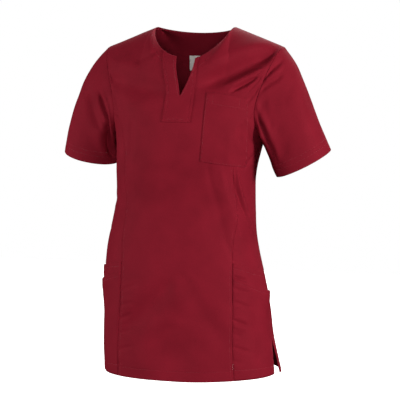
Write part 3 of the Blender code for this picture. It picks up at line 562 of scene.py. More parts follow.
def yoke_point(share, rise, half, side):
    """Point above the chest line: rise 0 on that line, 1 on the neckline or shoulder seam."""
    angle = share * armhole_angle(CHEST, half, side)
    start = section_point(angle, np.full_like(share, CHEST), half)
    below = section_point(angle, np.full_like(share, CHEST - YOKE_START), half)
    end = top_edge(share, half, side)
    inward = -FACING[half]
    over = np.array([0.0, inward, 0.0])
    up = np.array([0.0, inward * math.sin(NECK_LEAN), math.cos(NECK_LEAN)])
    arrive = unit(mixed(up, over, smooth_step(share / NECK_SHARE)[..., None]))
    reach = YOKE_REACH * np.linalg.norm(end - start, axis=-1, keepdims=True)
    return bezier(start, start + reach * unit(start - below), end - reach * arrive, end, rise)


def form_point(share, height, half):
    """Point of the form at a share, under 0 on the wearer's right. Heights over CHEST are yoke."""
    share, height = np.broadcast_arrays(np.asarray(share, float), np.asarray(height, float))
    side, size = np.where(share < 0, -1.0, 1.0), np.abs(share)
    low = section_point(size * edge_angle(height, half, side), np.minimum(height, CHEST), half)
    high = yoke_point(size, up_yoke(height), half, side)
    point = np.where((height > CHEST)[..., None], high, low) * stack(side, 1.0, 1.0)
    lift = fold_lift(FRONT_FOLDS if half == "front" else BACK_FOLDS, point[..., 0], point[..., 2])
    sway = table_curve(SWAYS, "height", "offset", point[..., 2])
    return point + stack(sway, 0.0, hem_rise(point)), lift


def form_surface(share, height, half):
    """The form with its main folds, and the way out of the cloth."""
    share, height = np.broadcast_arrays(np.asarray(share, float), np.asarray(height, float))
    step_share, step_height = 0.004, 0.0015
    side = np.where(share < 0, -1.0, 1.0)

    def straight_up(step):
        other = np.clip(height + step, HEM, 0.0)
        here, there = (edge_angle(np.minimum(z, CHEST), half, side) for z in (height, other))
        return form_point(share * here / there, other, half)[0]

    left = form_point(np.minimum(share + step_share, 1.0), height, half)[0]
    right = form_point(np.maximum(share - step_share, -1.0), height, half)[0]
    up = straight_up(step_height) - straight_up(-step_height)
    out = unit(np.cross(left - right, up)) * -FACING[half]
    point, lift = form_point(share, height, half)
    return point + out * lift[..., None], out


def share_at(distance, height, side):
    """Share of the front at which it is that far from the centre line, below the chest line."""
    width = table_curve(SECTIONS, "height", "half_width", height)
    return np.arcsin(np.clip(distance / width, -1, 1)) / edge_angle(height, "front", side)


def yoke_share_at(distance, height, side):
    """As share_at, also over the chest line, where the shares run up to the neckline."""
    at_neckline = NECK_SHARE * np.arcsin(distance / NECK_HALF_WIDTH) / (math.pi / 2)
    return mixed(share_at(distance, np.minimum(height, CHEST), side), at_neckline, up_yoke(height))


def princess_share(height, side):
    """Share of a side's princess seam, which reaches the armhole at PRINCESS_TOP."""
    table_top = PRINCESS[-1].height
    column = "left" if side > 0 else "right"
    distance = table_curve(PRINCESS, "height", column, np.minimum(height, table_top))
    into = smooth_step((height - table_top) / (PRINCESS_TOP - table_top))
    return np.where(height >= PRINCESS_TOP, 1.0, mixed(share_at(distance, height, side), 1.0, into))


def slit_share(height, side):
    """Share at which the slit's edge on that side stands."""
    at_neckline = NECK_SHARE * np.arcsin(SLIT_OPEN[side] / NECK_HALF_WIDTH) / (math.pi / 2)
    rise = np.clip((height - SLIT_BOTTOM) / (0.0 - SLIT_BOTTOM), 0.0, 1.0)
    return at_neckline * np.sin(math.pi / 2 * rise) ** SLIT_CURVE


# ------------------------------------------------------------------ the worn cloth of the torso
def cloth_place(share, height, half):
    """Length of cloth from the centre line out to a share of the width."""
    side = np.where(share < 0, -1.0, 1.0)
    return HALF_GIRTH * share * armhole_angle(np.minimum(height, CHEST), half, side) / (math.pi / 2)


EDGE_FADE, TOP_FADE = 0.05, 0.012  # shares and heights over which creases die out at a seam
ARMPIT_FADE = 0.030  # height over which they die out where the armhole starts
ARMPIT_FROM, ARMPIT_OVER = 0.72, 0.14  # shares of the girth over which that sets in


def body_creases(half):
    """The creases of a half, with the short puckers across its princess seams."""
    if half == "back":
        return BACK_CREASES
    puckers = []
    for p in SEAM_PUCKERS:
        seam = p.side * float(princess_share(p.z, p.side))
        across = seam + p.side * p.length / HALF_GIRTH
        puckers.append(Crease(seam, p.z, across, p.z - p.fall, PUCKER_BOW, PUCKER_WIDTH, p.height))
    return FRONT_CREASES + puckers


def worn(share, height, half):
    """The torso's cloth with its creases, and the way out of it."""
    share, height = np.broadcast_arrays(np.asarray(share, float), np.asarray(height, float))
    point, out = form_surface(share, height, half)
    u, z = cloth_place(share, height, half), point[..., 2]
    pressed = crease_lift(body_creases(half), u, z, lambda s, h: (float(cloth_place(s, h, half)), h))
    lift = settings().crease_strength * pressed + slack_lift(u, z)
    fade = smooth_step((1 - np.abs(share)) / EDGE_FADE) * smooth_step(-height / TOP_FADE)
    near_armpit = 1 - smooth_step(np.abs(height - ARMPIT) / ARMPIT_FADE)
    outside = smooth_step((np.abs(u) / HALF_GIRTH - ARMPIT_FROM) / ARMPIT_OVER)
    return point + out * (lift * fade * (1 - near_armpit * outside))[..., None], out


# ------------------------------------------------------------------ grids of sewn cloth
# Round a folded edge: distance from the fold, and depth as a share of TURN_GAP
FOLD_STEPS = [(3.0, 1.0), (1.0, 0.96), (0.25, 0.73), (0.0, 0.42), (0.15, 0.12), (0.5, 0.0)]
BESIDE_FOLD = [1.8, 2.8, 4.0, 5.5, 7.5, 10.0]  # next columns in from a fold, in mm
FURTHER_IN, FURTHER_STEP = 13 * MM, 3 * MM  # the columns after them, up to the last stitched line
LEAST_TURNED, PAST_LINE = 10 * MM, 4 * MM  # where they end, at least, and past that line
BESIDE_LINE = [-1.5, -0.75, 0.0, 0.75, 1.5]  # columns about a stitched line, in mm
LINE_ROOM = 2.2 * MM  # kept free of other columns on both sides of a line
LINE_OFF_FOLD = 1.2 * MM  # nearer to the fold, a line has no columns
TURN_END = 0.6  # share of the width turned under at which the second column lies

# Where a pocket's edge comes down into a seam: distance in mm, and share of the way down
CAUGHT_STEPS = [(0.0, 1.0), (0.4, 0.80), (0.9, 0.58), (1.6, 0.34)]
CAUGHT_STEPS += [(2.5, 0.15), (3.6, 0.05), (4.8, 0.01), (6.0, 0.0)]
BESIDE_CAUGHT = [9.0, 11.0, 13.0]  # next columns in, in mm
CAUGHT_LINE = [-5.0, *BESIDE_LINE, 5.0]  # columns about a line that such an edge shares with its panel
CAUGHT_UNDER = 0.3 * MM  # how far it ends under the panel's middle
OPEN_EDGE = [0.0, 2.0, 5.0, 10.0]  # columns at an edge that isn't turned, in mm

Edge = namedtuple("Edge", "place depth lines puckered")
Sheet = namedtuple("Sheet", "point out lift weave")


def edge_through(steps, lines, puckered):
    place, depth = np.array(steps).T
    return Edge(place, depth, lines, puckered)


def folded_edge(turn, lines=(), puckered=False):
    """Places from an edge's raw rim, round its fold and in over its stitched lines."""
    last = max([LEAST_TURNED] + [line + PAST_LINE for line in lines])
    regular = [p * MM for p in BESIDE_FOLD] + list(np.arange(FURTHER_IN, last, FURTHER_STEP))
    flat = [p for p in regular if all(abs(p - line) > LINE_ROOM for line in lines)]
    flat += [line + p * MM for line in lines for p in BESIDE_LINE if line + p * MM > LINE_OFF_FOLD]
    steps = [(turn, 1.0), (TURN_END * turn, 1.0)] + [(p * MM, d) for p, d in FOLD_STEPS]
    return edge_through(steps + [(p, 0.0) for p in sorted(flat)], lines, puckered)


def caught_edge(lift, lines=()):
    """A pocket's edge caught in a seam: it comes down round the layers below it to the seam's line."""
    steep = math.sqrt(lift / LIFT_ON_PANEL)
    steps = [(p * MM * steep, d * (lift + CAUGHT_UNDER) / TURN_GAP) for p, d in CAUGHT_STEPS]
    steps += [(p * MM, 0.0) for p in BESIDE_CAUGHT]
    steps += [(line + p * MM, 0.0) for line in lines for p in CAUGHT_LINE]
    return edge_through(steps, lines, True)


def open_edge():
    """An edge that ends under another piece, and isn't turned."""
    return edge_through([(p * MM, 0.0) for p in OPEN_EDGE], (), False)


EDGE_ROOM = 0.9  # share of a strip that its two edges take up at most


def spread(length, first, last, spacing):
    """Distances of a grid's lines from its first edge, on strips of those lengths, and their depths."""
    length = np.atleast_1d(length)[:, None]
    room = first.place[-1] + last.place[-1]
    scale = np.minimum(1.0, EDGE_ROOM * (length - 2 * SEAM_CLEAR) / room)
    start = SEAM_CLEAR + first.place * scale
    end = length - SEAM_CLEAR - last.place[::-1] * scale
    count = max(1, math.ceil((length.max() - room) / spacing) - 1)
    between = np.linspace(0, 1, count + 2)[1:-1]
    middle = start[:, -1:] + between * (end[:, :1] - start[:, -1:])
    depth = np.concatenate([first.depth, np.zeros(count), last.depth[::-1]])
    return np.concatenate([start, middle, end], axis=1), depth


def edge_marks(distance, along, edge):
    """Lift beside an edge: the lines its stitches pull in, and their puckers."""
    lift = np.zeros(np.broadcast(distance, along).shape)
    for line in edge.lines:
        lift = lift - GROOVE_DEPTH * np.exp(-(((distance - line) / (GROOVE_WIDTH / 2)) ** 2))
    if edge.puckered:
        lift = lift + seam_pucker(along, np.maximum(distance, 0.0))
    return lift


Rows = namedtuple("Rows", "kind value depth")
# A row's value is a height, a share of the yoke, a distance from its top, or that with the facing's flare
LEVEL, YOKE, UNDER_TOP, FLARED = 0, 1, 2, 3
ARMHOLE_CLOSER = 1.6  # how much closer rows lie beside the armhole
YOKE_LENGTH = 0.12  # of cloth, which the yoke's rows are counted for
TOP_ROOM = 1.5 * MM  # kept free of other rows below a straight top
SAME_HEIGHT = 1e-9  # heights nearer than this are one
TOP_REACH = 0.06  # distance from the top at which its rows are first laid out
SHOULDER_FROM, SHOULDER_OVER = 0.44, 0.12  # shares over which the neckline's turning becomes a seam's


def panel_rows(bottom, bottom_edge, top, top_fold, spacing):
    """Rows of a panel up to the height top, or to the neckline and shoulder where that is None."""
    rows = [(LEVEL, bottom + p, d) for p, d in zip(bottom_edge.place, bottom_edge.depth)]
    start = bottom + bottom_edge.place[-1]
    if start < ARMPIT:
        lower_end = ARMPIT if top is None else min(ARMPIT, top)
        count = math.ceil((lower_end - start) / spacing)
        rows += [(LEVEL, h, 0.0) for h in np.linspace(start, lower_end, count + 1)[1:]]
        start = lower_end
    if start >= ARMPIT - SAME_HEIGHT and start < CHEST:
        count = math.ceil(ARMHOLE_CLOSER * (CHEST - start) / spacing)
        first = math.sqrt((start - ARMPIT) / (CHEST - ARMPIT)) if start > ARMPIT else 0.0
        steps = np.linspace(first, 1, count + 1)[1:]
        rows += [(LEVEL, ARMPIT + (CHEST - ARMPIT) * t * t, 0.0) for t in steps]
    if top is not None:
        rows = [row for row in rows if row[1] < top - TOP_ROOM] + [(LEVEL, top, 0.0)]
    else:
        count = math.ceil(YOKE_LENGTH / spacing)
        rows += [(YOKE, f, 0.0) for f in np.linspace(0, 1, count + 1)[1:-1]]
        rows += edge_rows(UNDER_TOP, top_fold)
    return rows_of(rows)


def edge_rows(kind, edge):
    """Rows of an edge that is reached from below."""
    return [(kind, p, d) for p, d in zip(edge.place[::-1], edge.depth[::-1])]


def rows_of(rows):
    return Rows(*(np.array(column) for column in zip(*rows)))


YOKE_SHARES, YOKE_HEIGHTS = 81, 61  # how many of each the yoke's length is measured at
ACROSS_PANEL = np.linspace(0, 1, 140)  # places at which a panel's width is measured


def top_run(half):
    """Length of cloth from the top edge down to the chest line, on a grid of shares and heights."""
    shares, heights = np.linspace(-1, 1, YOKE_SHARES), np.linspace(0, CHEST, YOKE_HEIGHTS)
    return shares, heights, lengths_along(form_surface(shares[:, None], heights[None, :], half)[0])


def under_top(run, distance, share):
    """Height of the yoke's cloth at a distance from its top edge."""
    shares, heights, lengths = run
    return np.interp(share, shares, [np.interp(distance, line, heights) for line in lengths])


def facing_flare(share):
    """How much deeper the back facing is towards the shoulders than at the centre."""
    return FACING_FLARE * np.minimum(np.abs(share) / NECK_SHARE, 1.0)


def row_heights(rows, share, run, last_place):
    """Height at each place of a grid."""
    height = np.empty(share.shape)
    for r, (kind, value, depth) in enumerate(zip(rows.kind, rows.value, rows.depth)):
        if kind == LEVEL:
            height[r] = value
        elif kind == YOKE:
            height[r] = CHEST + value * (under_top(run, last_place + SEAM_CLEAR, share[r]) - CHEST)
        else:
            shoulder = smooth_step((np.abs(share[r]) - SHOULDER_FROM) / SHOULDER_OVER)
            turn = min(1.0, SEAM_TURN / value) if depth == 1.0 else 1.0
            place = value * (1 - shoulder + shoulder * turn)
            if kind == FLARED:
                flared = smooth_step((value - FLARE_FROM) / FLARE_OVER)
                place = value + facing_flare(share[r]) * flared
            height[r] = under_top_each(run, place + SEAM_CLEAR, share[r])
    return height


def under_top_each(run, distance, share):
    """As under_top, with a distance of its own at each share."""
    shares, heights, lengths = run
    near = np.clip(np.searchsorted(shares, share) - 1, 0, len(shares) - 2)
    part = (share - shares[near]) / (shares[near + 1] - shares[near])
    low = np.array([np.interp(d, lengths[i], heights) for d, i in zip(distance, near)])
    high = np.array([np.interp(d, lengths[i + 1], heights) for d, i in zip(distance, near)])
    return mixed(low, high, part)


def panel(half, rows, start, end, first, last, spacing, top_fold=None):
    """Sheet of a panel between two edges, each a share by height, with all its edges turned."""
    run = top_run(half)
    nominal = np.where(rows.kind == LEVEL, rows.value, CHEST * (1 - rows.value))
    nominal = np.where(rows.kind >= UNDER_TOP, -np.minimum(rows.value, TOP_REACH), nominal)
    a, b = start(nominal), end(nominal)
    across = form_surface(a[:, None] + ACROSS_PANEL * (b - a)[:, None], nominal[:, None], half)[0]
    lengths = lengths_along(across)
    place, depth = spread(lengths[:, -1], first, last, spacing)
    part = read_off(lengths, [ACROSS_PANEL] * len(lengths), place)
    share = a[:, None] + part * (b - a)[:, None]
    height = row_heights(rows, share, run, top_fold.place[-1] if top_fold else 0.0)
    a, b = start(height), end(height)
    share = a + part * (b - a)
    point, out = worn(share, height, half)
    z = point[..., 2]
    lift = edge_marks(place, z, first) + edge_marks(lengths[:, -1:] - place, z, last)
    lift = lift * smooth_step(np.abs(height - ARMPIT) / ARMPIT_FADE)
    lift = lift - TURN_GAP * (depth + rows.depth[:, None])
    return Sheet(point, out, lift, stack(cloth_place(share, height, half), z, 0.0)), share, height


FLAT_OVER = -0.5 * TURN_GAP  # a lift over this belongs to cloth that isn't turned under


def add_cloth(name, sheet, node, slot="wine_red_twill", index=None, keep=None, thickness=None):
    """Gives a sheet the cloth's thickness and adds it as a piece that stands for its CAD node."""
    thickness = thickness or settings().thickness
    rows, columns = sheet.lift.shape
    middle = (sheet.point + sheet.out * sheet.lift[..., None]).reshape(-1, 3)
    index = np.arange(rows * columns).reshape(rows, columns) if index is None else index
    keep = np.ones((rows - 1, columns - 1), bool) if keep is None else keep
    corners = [index[:-1, :-1], index[:-1, 1:], index[1:, 1:], index[1:, :-1]]
    quads = np.stack([c[keep] for c in corners], axis=1)
    used, quads = np.unique(quads, return_inverse=True)
    quads = quads.reshape(-1, 4)
    middle = middle[used]
    cross = np.cross(middle[quads[:, 2]] - middle[quads[:, 0]], middle[quads[:, 3]] - middle[quads[:, 1]])
    normal = np.zeros_like(middle)
    for corner in range(4):
        np.add.at(normal, quads[:, corner], cross)
    wanted = sheet.out.reshape(-1, 3)[used]
    flat = (sheet.lift > FLAT_OVER).reshape(-1)[used]
    if np.sum(normal[flat] * wanted[flat]) < 0:
        quads, normal = quads[:, ::-1], -normal
    normal = unit(normal)
    count = len(middle)
    edges = np.concatenate([quads[:, [i, (i + 1) % 4]] for i in range(4)])
    keys = edges[:, 0] * count + edges[:, 1]
    rim = edges[~np.isin(keys, edges[:, 1] * count + edges[:, 0])]
    rims = np.stack([rim[:, 1], rim[:, 0], rim[:, 0] + count, rim[:, 1] + count], axis=1)
    vertices = np.concatenate([middle + normal * thickness / 2, middle - normal * thickness / 2])
    faces = np.concatenate([quads, quads[:, ::-1] + count, rims])
    mesh = bpy.data.meshes.new(name)
    mesh.from_pydata(vertices.tolist(), [], faces.tolist())
    if mesh.validate():
        raise RuntimeError("the cloth of " + name + " has faces that can't be used")
    mesh.shade_smooth()
    weave = mesh.attributes.new("weave", "FLOAT_VECTOR", "POINT")
    lie = sheet.weave.reshape(-1, 3)[used]
    weave.data.foreach_set("vector", np.concatenate([lie, lie]).ravel())
    return add_piece(name, mesh, slot, node)


def add_piece(name, mesh, slot, node=None):
    """Adds a mesh as a piece of the tunic, in place of an older one of that name."""
    for old in [o for o in bpy.data.objects if o.name == name]:
        bpy.data.objects.remove(old)
    mesh.materials.append(MATERIALS[slot]())
    piece = bpy.data.objects.new(name, mesh)
    bpy.context.scene.collection.objects.link(piece)
    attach(piece, "root")
    if node:
        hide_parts(node)
    return piece


# ------------------------------------------------------------------ body panels
BODY_SPACING, SIDE_SPACING, BACK_SPACING = 3.0 * MM, 3.4 * MM, 3.8 * MM
PRINCESS_LINE = 5 * MM  # topstitching beside the princess seams, on the centre front
NECK_LINE, HEM_LINE = 24 * MM, 20 * MM
VENT_LINE = 7 * MM
SIDE_FRONT_SHORT = 2 * MM  # how far below the princess seam's end a side front ends
SLIT_JOIN = 8 * MM  # height over which the slit's edges turn under above its bottom
FLATTENED = 3  # columns beside the slit's fold that are flattened with it
NECK_LINE_FROM, NECK_LINE_OVER = 0.03, 0.04  # shares short of the neck point over which it dies out
NECK_ROUND = 0.2  # length of cloth round the neckline that a share of 1 counts as
OFF_TOP = 1.0  # a distance from the top that is past all its stitches


def constant(value):
    return lambda height: np.full(np.shape(height), float(value))


def mirrored(sheet):
    """A half's grid with its columns the other way round."""
    return Sheet(*(np.flip(grid, axis=1) for grid in sheet))


def joined(right, left):
    return Sheet(*(np.concatenate([a, b], axis=1) for a, b in zip(right, left)))


def slit_seam(sheet, height, fold, half):
    """Numbers a grid whose halves share their fold column below the slit, and says which cells to keep."""
    rows, columns = sheet.lift.shape
    index = np.arange(rows * columns).reshape(rows, columns)
    keep = np.ones((rows - 1, columns - 1), bool)
    below = height[:, 0] <= SLIT_BOTTOM + SAME_HEIGHT
    right_fold, left_fold = half - 1 - fold, half + fold
    index[below, right_fold] = index[below, left_fold]
    cells_below = below[1:]
    keep[:, half - 1] = False
    keep[np.ix_(cells_below, np.arange(right_fold, left_fold))] = False
    return index, keep


def opened_at_slit(builder, fold):
    """Both halves of a piece that the slit parts, flattened to one sheet below the slit."""
    halves, height = [], None
    turned = fold + FLATTENED
    for side in (-1, 1):
        sheet, height = builder(side)
        open_part = smooth_step((height - SLIT_BOTTOM) / SLIT_JOIN)[:, :turned]
        lift = sheet.lift.copy()
        lift[:, :turned] = mixed(sheet.lift[:, turned][:, None], lift[:, :turned], open_part)
        halves.append(Sheet(sheet.point, sheet.out, lift, sheet.weave))
    sheet = joined(mirrored(halves[0]), halves[1])
    index, keep = slit_seam(sheet, height, fold, halves[0].lift.shape[1])
    return sheet, index, keep


def build_centre_front():
    seam = folded_edge(SEAM_TURN, (PRINCESS_LINE,), True)
    slit = folded_edge(SEAM_TURN)
    hem = folded_edge(HEM_TURN, (HEM_LINE,))
    neck = folded_edge(NECK_TURN, (NECK_LINE,), True)
    rows = panel_rows(HEM, hem, None, neck, BODY_SPACING)
    fold = int(np.argmin(slit.place))

    def half(side):
        sheet, share, height = panel(
            "front",
            rows,
            lambda h: side * slit_share(h, side),
            lambda h: side * princess_share(h, side),
            slit,
            seam,
            BODY_SPACING,
            neck,
        )
        return with_row_marks(sheet, rows, height, hem, neck, share), height

    sheet, index, keep = opened_at_slit(half, fold)
    piece = add_cloth("centre_front_cloth", sheet, "centre_front", index=index, keep=keep)


def with_row_marks(sheet, rows, height, hem, neck, share):
    """Adds the marks of the hem's and the neckline's stitched lines."""
    up = height - HEM
    lift = sheet.lift + edge_marks(up - SEAM_CLEAR, sheet.weave[..., 0], hem)
    if neck is not None:
        top = np.where(rows.kind == UNDER_TOP, rows.value, OFF_TOP)[:, None]
        on_neck = smooth_step((NECK_SHARE - NECK_LINE_FROM - np.abs(share)) / NECK_LINE_OVER)
        lift = lift + on_neck * edge_marks(top, share * NECK_ROUND, neck)
    return Sheet(sheet.point, sheet.out, lift, sheet.weave)


def build_side_front(tag, side):
    seam = folded_edge(SEAM_TURN, (), True)
    hem = folded_edge(HEM_TURN, (HEM_LINE,))
    rows = panel_rows(HEM, hem, PRINCESS_TOP - SIDE_FRONT_SHORT, None, SIDE_SPACING)
    start, end = (lambda h: side * princess_share(h, side)), constant(side)
    sheet, share, height = panel("front", rows, start, end, seam, seam, SIDE_SPACING)
    sheet = with_row_marks(sheet, rows, height, hem, None, share)
    piece = add_cloth("side_front_" + tag + "_cloth", sheet, "side_front_" + tag)


def build_back():
    seam = folded_edge(SEAM_TURN, (), True)
    hem = folded_edge(HEM_TURN, (HEM_LINE,))
    top = folded_edge(SEAM_TURN)
    rows = panel_rows(HEM, hem, None, top, BACK_SPACING)
    sheet, share, height = panel("back", rows, constant(-1), constant(1), seam, seam, BACK_SPACING, top)
    sheet = with_row_marks(sheet, rows, height, hem, None, share)
    piece = add_cloth("back_cloth", sheet, "back")


# ------------------------------------------------------------------ sleeves
BESIDE_ARMHOLE = 0.96  # share of the width at which the way in over the panel is read
RIM_STEPS_BELOW, RIM_STEPS_YOKE = 48, 50
SLEEVE_SPACING = 3.4 * MM
CUFF_LINES = (17 * MM, 27 * MM)
SLEEVE_GIRTH = 0.37  # mean length round a sleeve, which turns its distances into turns
SLEEVE_FADE, UNDERARM_FADE = 0.05, 0.03  # shares over which creases die out at armhole and seam
DOWN_SLEEVE = np.linspace(0, 1, 80)  # places at which a sleeve's length is measured


def armhole_rim(side):
    """Turn round the armhole, its points, and the way in over the panel, close together."""
    t = np.linspace(0, 1, RIM_STEPS_BELOW)
    yoke = np.linspace(CHEST, 0, RIM_STEPS_YOKE)[1:]
    front = np.concatenate([ARMPIT + (CHEST - ARMPIT) * t**2, yoke])
    back = front[::-1][1:]
    rim, inward = [], []
    for heights, half in ((front, "front"), (back, "back")):
        point = form_surface(np.full(len(heights), float(side)), heights, half)[0]
        beside = form_surface(np.full(len(heights), side * BESIDE_ARMHOLE), heights, half)[0]
        rim.append(point)
        inward.append(unit(beside - point))
    rim, inward = np.concatenate(rim), np.concatenate(inward)
    run = lengths_along(rim[None])[0]
    tip = run[len(front) - 1]
    turn = np.where(run <= tip, run / tip * 0.5, 0.5 + (run - tip) / (run[-1] - tip) * 0.5)
    steady, first = np.unique(turn, return_index=True)
    return steady, rim[first], inward[first]


def arm_axes(sleeve):
    """The arm's own direction, the way across its cuff and the way from front to back of the cuff."""
    down = -math.cos(sleeve.lean) * math.cos(sleeve.back)
    axis = unit(np.array([sleeve.side * math.sin(sleeve.lean), math.sin(sleeve.back), down]))
    deep = unit(np.array([0.0, 1.0, 0.0]) - axis[1] * axis)
    across = np.cross(axis, deep)
    return axis, across * np.sign(across[0]) * sleeve.side, deep


def over_shoulder(turn):
    """0 at the underarm seam and 1 on top of the shoulder."""
    return ((1 - np.cos(2 * math.pi * turn)) / 2)[..., None]


def sleeve_directions(turn, sleeve):
    """The way the sleeve leaves the armhole: along the arm below, out over the shoulder on top."""
    head = np.array([sleeve.side * sleeve.head_x, 0.0, sleeve.head_z])
    leave = mixed(arm_axes(sleeve)[0], unit(head), over_shoulder(turn))
    return unit(leave + stack(0.0, -SLEEVE_FULLNESS * np.sin(2 * math.pi * turn), 0.0))


def cuff_point(turn, sleeve):
    _, across, deep = arm_axes(sleeve)
    centre = np.array([sleeve.side * sleeve.cuff_x, sleeve.cuff_y, sleeve.cuff_z])
    angle = (2 * math.pi * turn)[..., None]
    return centre - CUFF_ACROSS * np.cos(angle) * across - CUFF_DEEP * np.sin(angle) * deep


def sleeve_lengths(sleeve, rim_table, turn):
    """Length run down a sleeve at each of several turns, at the places DOWN_SLEEVE."""
    turn, along = np.broadcast_arrays(turn[:, None], DOWN_SLEEVE)
    return lengths_along(sleeve_form(sleeve, rim_table, turn, along))


def down_sleeve(lengths, distance):
    """Shares of the way down at which a sleeve's lines have run those distances."""
    return read_off(lengths, [DOWN_SLEEVE] * len(lengths), distance)


def sleeve_form(sleeve, rim_table, turn, along):
    """Point of a sleeve without creases, along 0 at the armhole and 1 at the cuff."""
    turns, rim, inward = rim_table
    turn = turn % 1.0
    start = np.stack([np.interp(turn, turns, rim[:, i]) for i in range(3)], axis=-1)
    towards = unit(np.stack([np.interp(turn, turns, inward[:, i]) for i in range(3)], axis=-1))
    leave = sleeve_directions(turn, sleeve)
    start = start + SLEEVE_SEAM * unit(leave - towards)
    cuff = cuff_point(turn, sleeve)
    length = np.linalg.norm(cuff - start, axis=-1, keepdims=True)
    reach = mixed(UNDERARM_REACH, sleeve.head_reach, over_shoulder(turn))
    axis = arm_axes(sleeve)[0]
    return bezier(start, start + reach * length * leave, cuff - CUFF_REACH * length * axis, cuff, along)


def worn_sleeve(sleeve, rim_table, turn, along):
    """A sleeve's cloth with its folds and creases, and the way out of it."""
    step_turn, step_along = 0.006, 0.01
    low, high = np.clip(along - step_along, 0, 1), np.clip(along + step_along, 0, 1)
    around = sleeve_form(sleeve, rim_table, turn + step_turn, along)
    around = around - sleeve_form(sleeve, rim_table, turn - step_turn, along)
    down = sleeve_form(sleeve, rim_table, turn, high) - sleeve_form(sleeve, rim_table, turn, low)
    out = unit(np.cross(around, down)) * sleeve.side
    point = sleeve_form(sleeve, rim_table, turn, along)
    if np.sum(out * (point - point.mean(axis=(0, 1)))) < 0:
        out = -out
    lift = fold_lift(SLEEVE_FOLDS, turn, along) * smooth_step(along / SLEEVE_FOLDS_START)
    fade = smooth_step(along / SLEEVE_FADE) * smooth_step(np.minimum(turn, 1 - turn) / UNDERARM_FADE)
    u, v = turn * SLEEVE_ROUND, along * SLEEVE_LONG
    table = SLEEVE_CREASES[sleeve.tag]
    pressed = crease_lift(table, u, v, lambda t, a: (t * SLEEVE_ROUND, a * SLEEVE_LONG))
    lift = lift + fade * (settings().crease_strength * pressed + slack_lift(u, v))
    return point + out * lift[..., None], out


def build_sleeve(sleeve):
    rim_table = armhole_rim(sleeve.side)
    seam = folded_edge(SEAM_TURN, (), True)
    cuff = folded_edge(CUFF_TURN, CUFF_LINES)
    place, depth = spread([SLEEVE_GIRTH], seam, seam, SLEEVE_SPACING)
    turn = place[0] / SLEEVE_GIRTH
    lengths = sleeve_lengths(sleeve, rim_table, turn)
    down, down_depth = spread(lengths[:, -1], seam, cuff, SLEEVE_SPACING)
    along = down_sleeve(lengths, down).T
    down = down.T
    turn = np.broadcast_to(turn, along.shape)
    point, out = worn_sleeve(sleeve, rim_table, turn, along)
    girth = turn * SLEEVE_GIRTH
    lift = edge_marks(down, girth, seam) + edge_marks(lengths[:, -1] - SEAM_CLEAR - down, girth, cuff)
    lift = lift + edge_marks(np.minimum(girth, SLEEVE_GIRTH - girth), down, seam)
    lift = lift - TURN_GAP * (depth + down_depth[:, None])
    sheet = Sheet(point, out, lift, stack(turn * SLEEVE_ROUND, along * SLEEVE_LONG, 0.0))
    piece = add_cloth("sleeve_" + sleeve.tag + "_cloth", sheet, "sleeve_" + sleeve.tag)


# ------------------------------------------------------------------ pockets
POCKET_SPACING = 2.8 * MM
CHEST_POCKET_WIDE, CHEST_POCKET_DEEP = 0.100, 0.142
CHEST_POCKET_GAPE = 1.5 * MM
BAR_PLACES = (0.17, 0.80)  # shares across the chest pocket where stitched bars cross its hem
BAR_RISE = 2 * MM  # height over which a bar sets in at the hem's line
POCKET_TURN = 9 * MM
POCKET_LINE = 2.2 * MM  # stitching that holds a pocket down, from its edge
POCKET_HEM, POCKET_HEM_LINE = 24 * MM, 21 * MM

SIDE_POCKET_WIDE, SIDE_POCKET_DEEP = 0.100, (0.222, 0.198)  # inner and outer layer
SIDE_POCKET_HEM, SIDE_POCKET_HEM_LINE = 14 * MM, 9 * MM
POCKET_HEM_INSET = 0.5 * MM  # how far above the tunic's hem a side pocket ends
FLAT_LAYER = 0.9 * MM  # lift of a layer of pocket where it lies flat
CAUGHT_SHARE = 0.12  # share of a pocket's width over which its hem comes down to the princess seam
GAPE_START = 0.6  # share of the way up a pocket at which it starts to gape
GAPE_TO_SIDE = 5.5  # over 1 moves the place where a pocket gapes most towards the side seam
FRONT_GAPE, GAPE_TO_FRONT = 1.8 * MM, 0.5  # its slighter gape near the princess seam


def patch(first, last, bottom, top, width, depth, spacing):
    """Even grid over a patch: shares across and up, distances from two of its edges, and depths."""
    place, across_depth = spread([width], first, last, spacing)
    up, up_depth = spread([depth], bottom, top, spacing)
    across, rise = np.meshgrid(place[0] / width, up[0] / depth)
    return across, rise, across * width, rise * depth, across_depth[None, :] + up_depth[:, None]


def chest_pocket_place(across, up):
    """Share, height and fullness of the chest pocket's cloth."""
    x, z = (
        mixed(mixed(inner_low, outer_low, across), mixed(inner_top, outer_top, across), up)
        for inner_low, outer_low, inner_top, outer_top in zip(*CHEST_POCKET_CORNERS)
    )
    full = CHEST_POCKET_GAPE * np.sin(math.pi * np.clip(across, 0, 1))
    return share_at(x, z, 1.0), z, full * np.sin(math.pi / 2 * np.clip(up, 0, 1))


def chest_pocket_cloth(across, up):
    share, height, fullness = chest_pocket_place(across, up)
    point, out = worn(share, height, "front")
    return point + out * (LIFT_ON_PANEL + fullness)[..., None], out


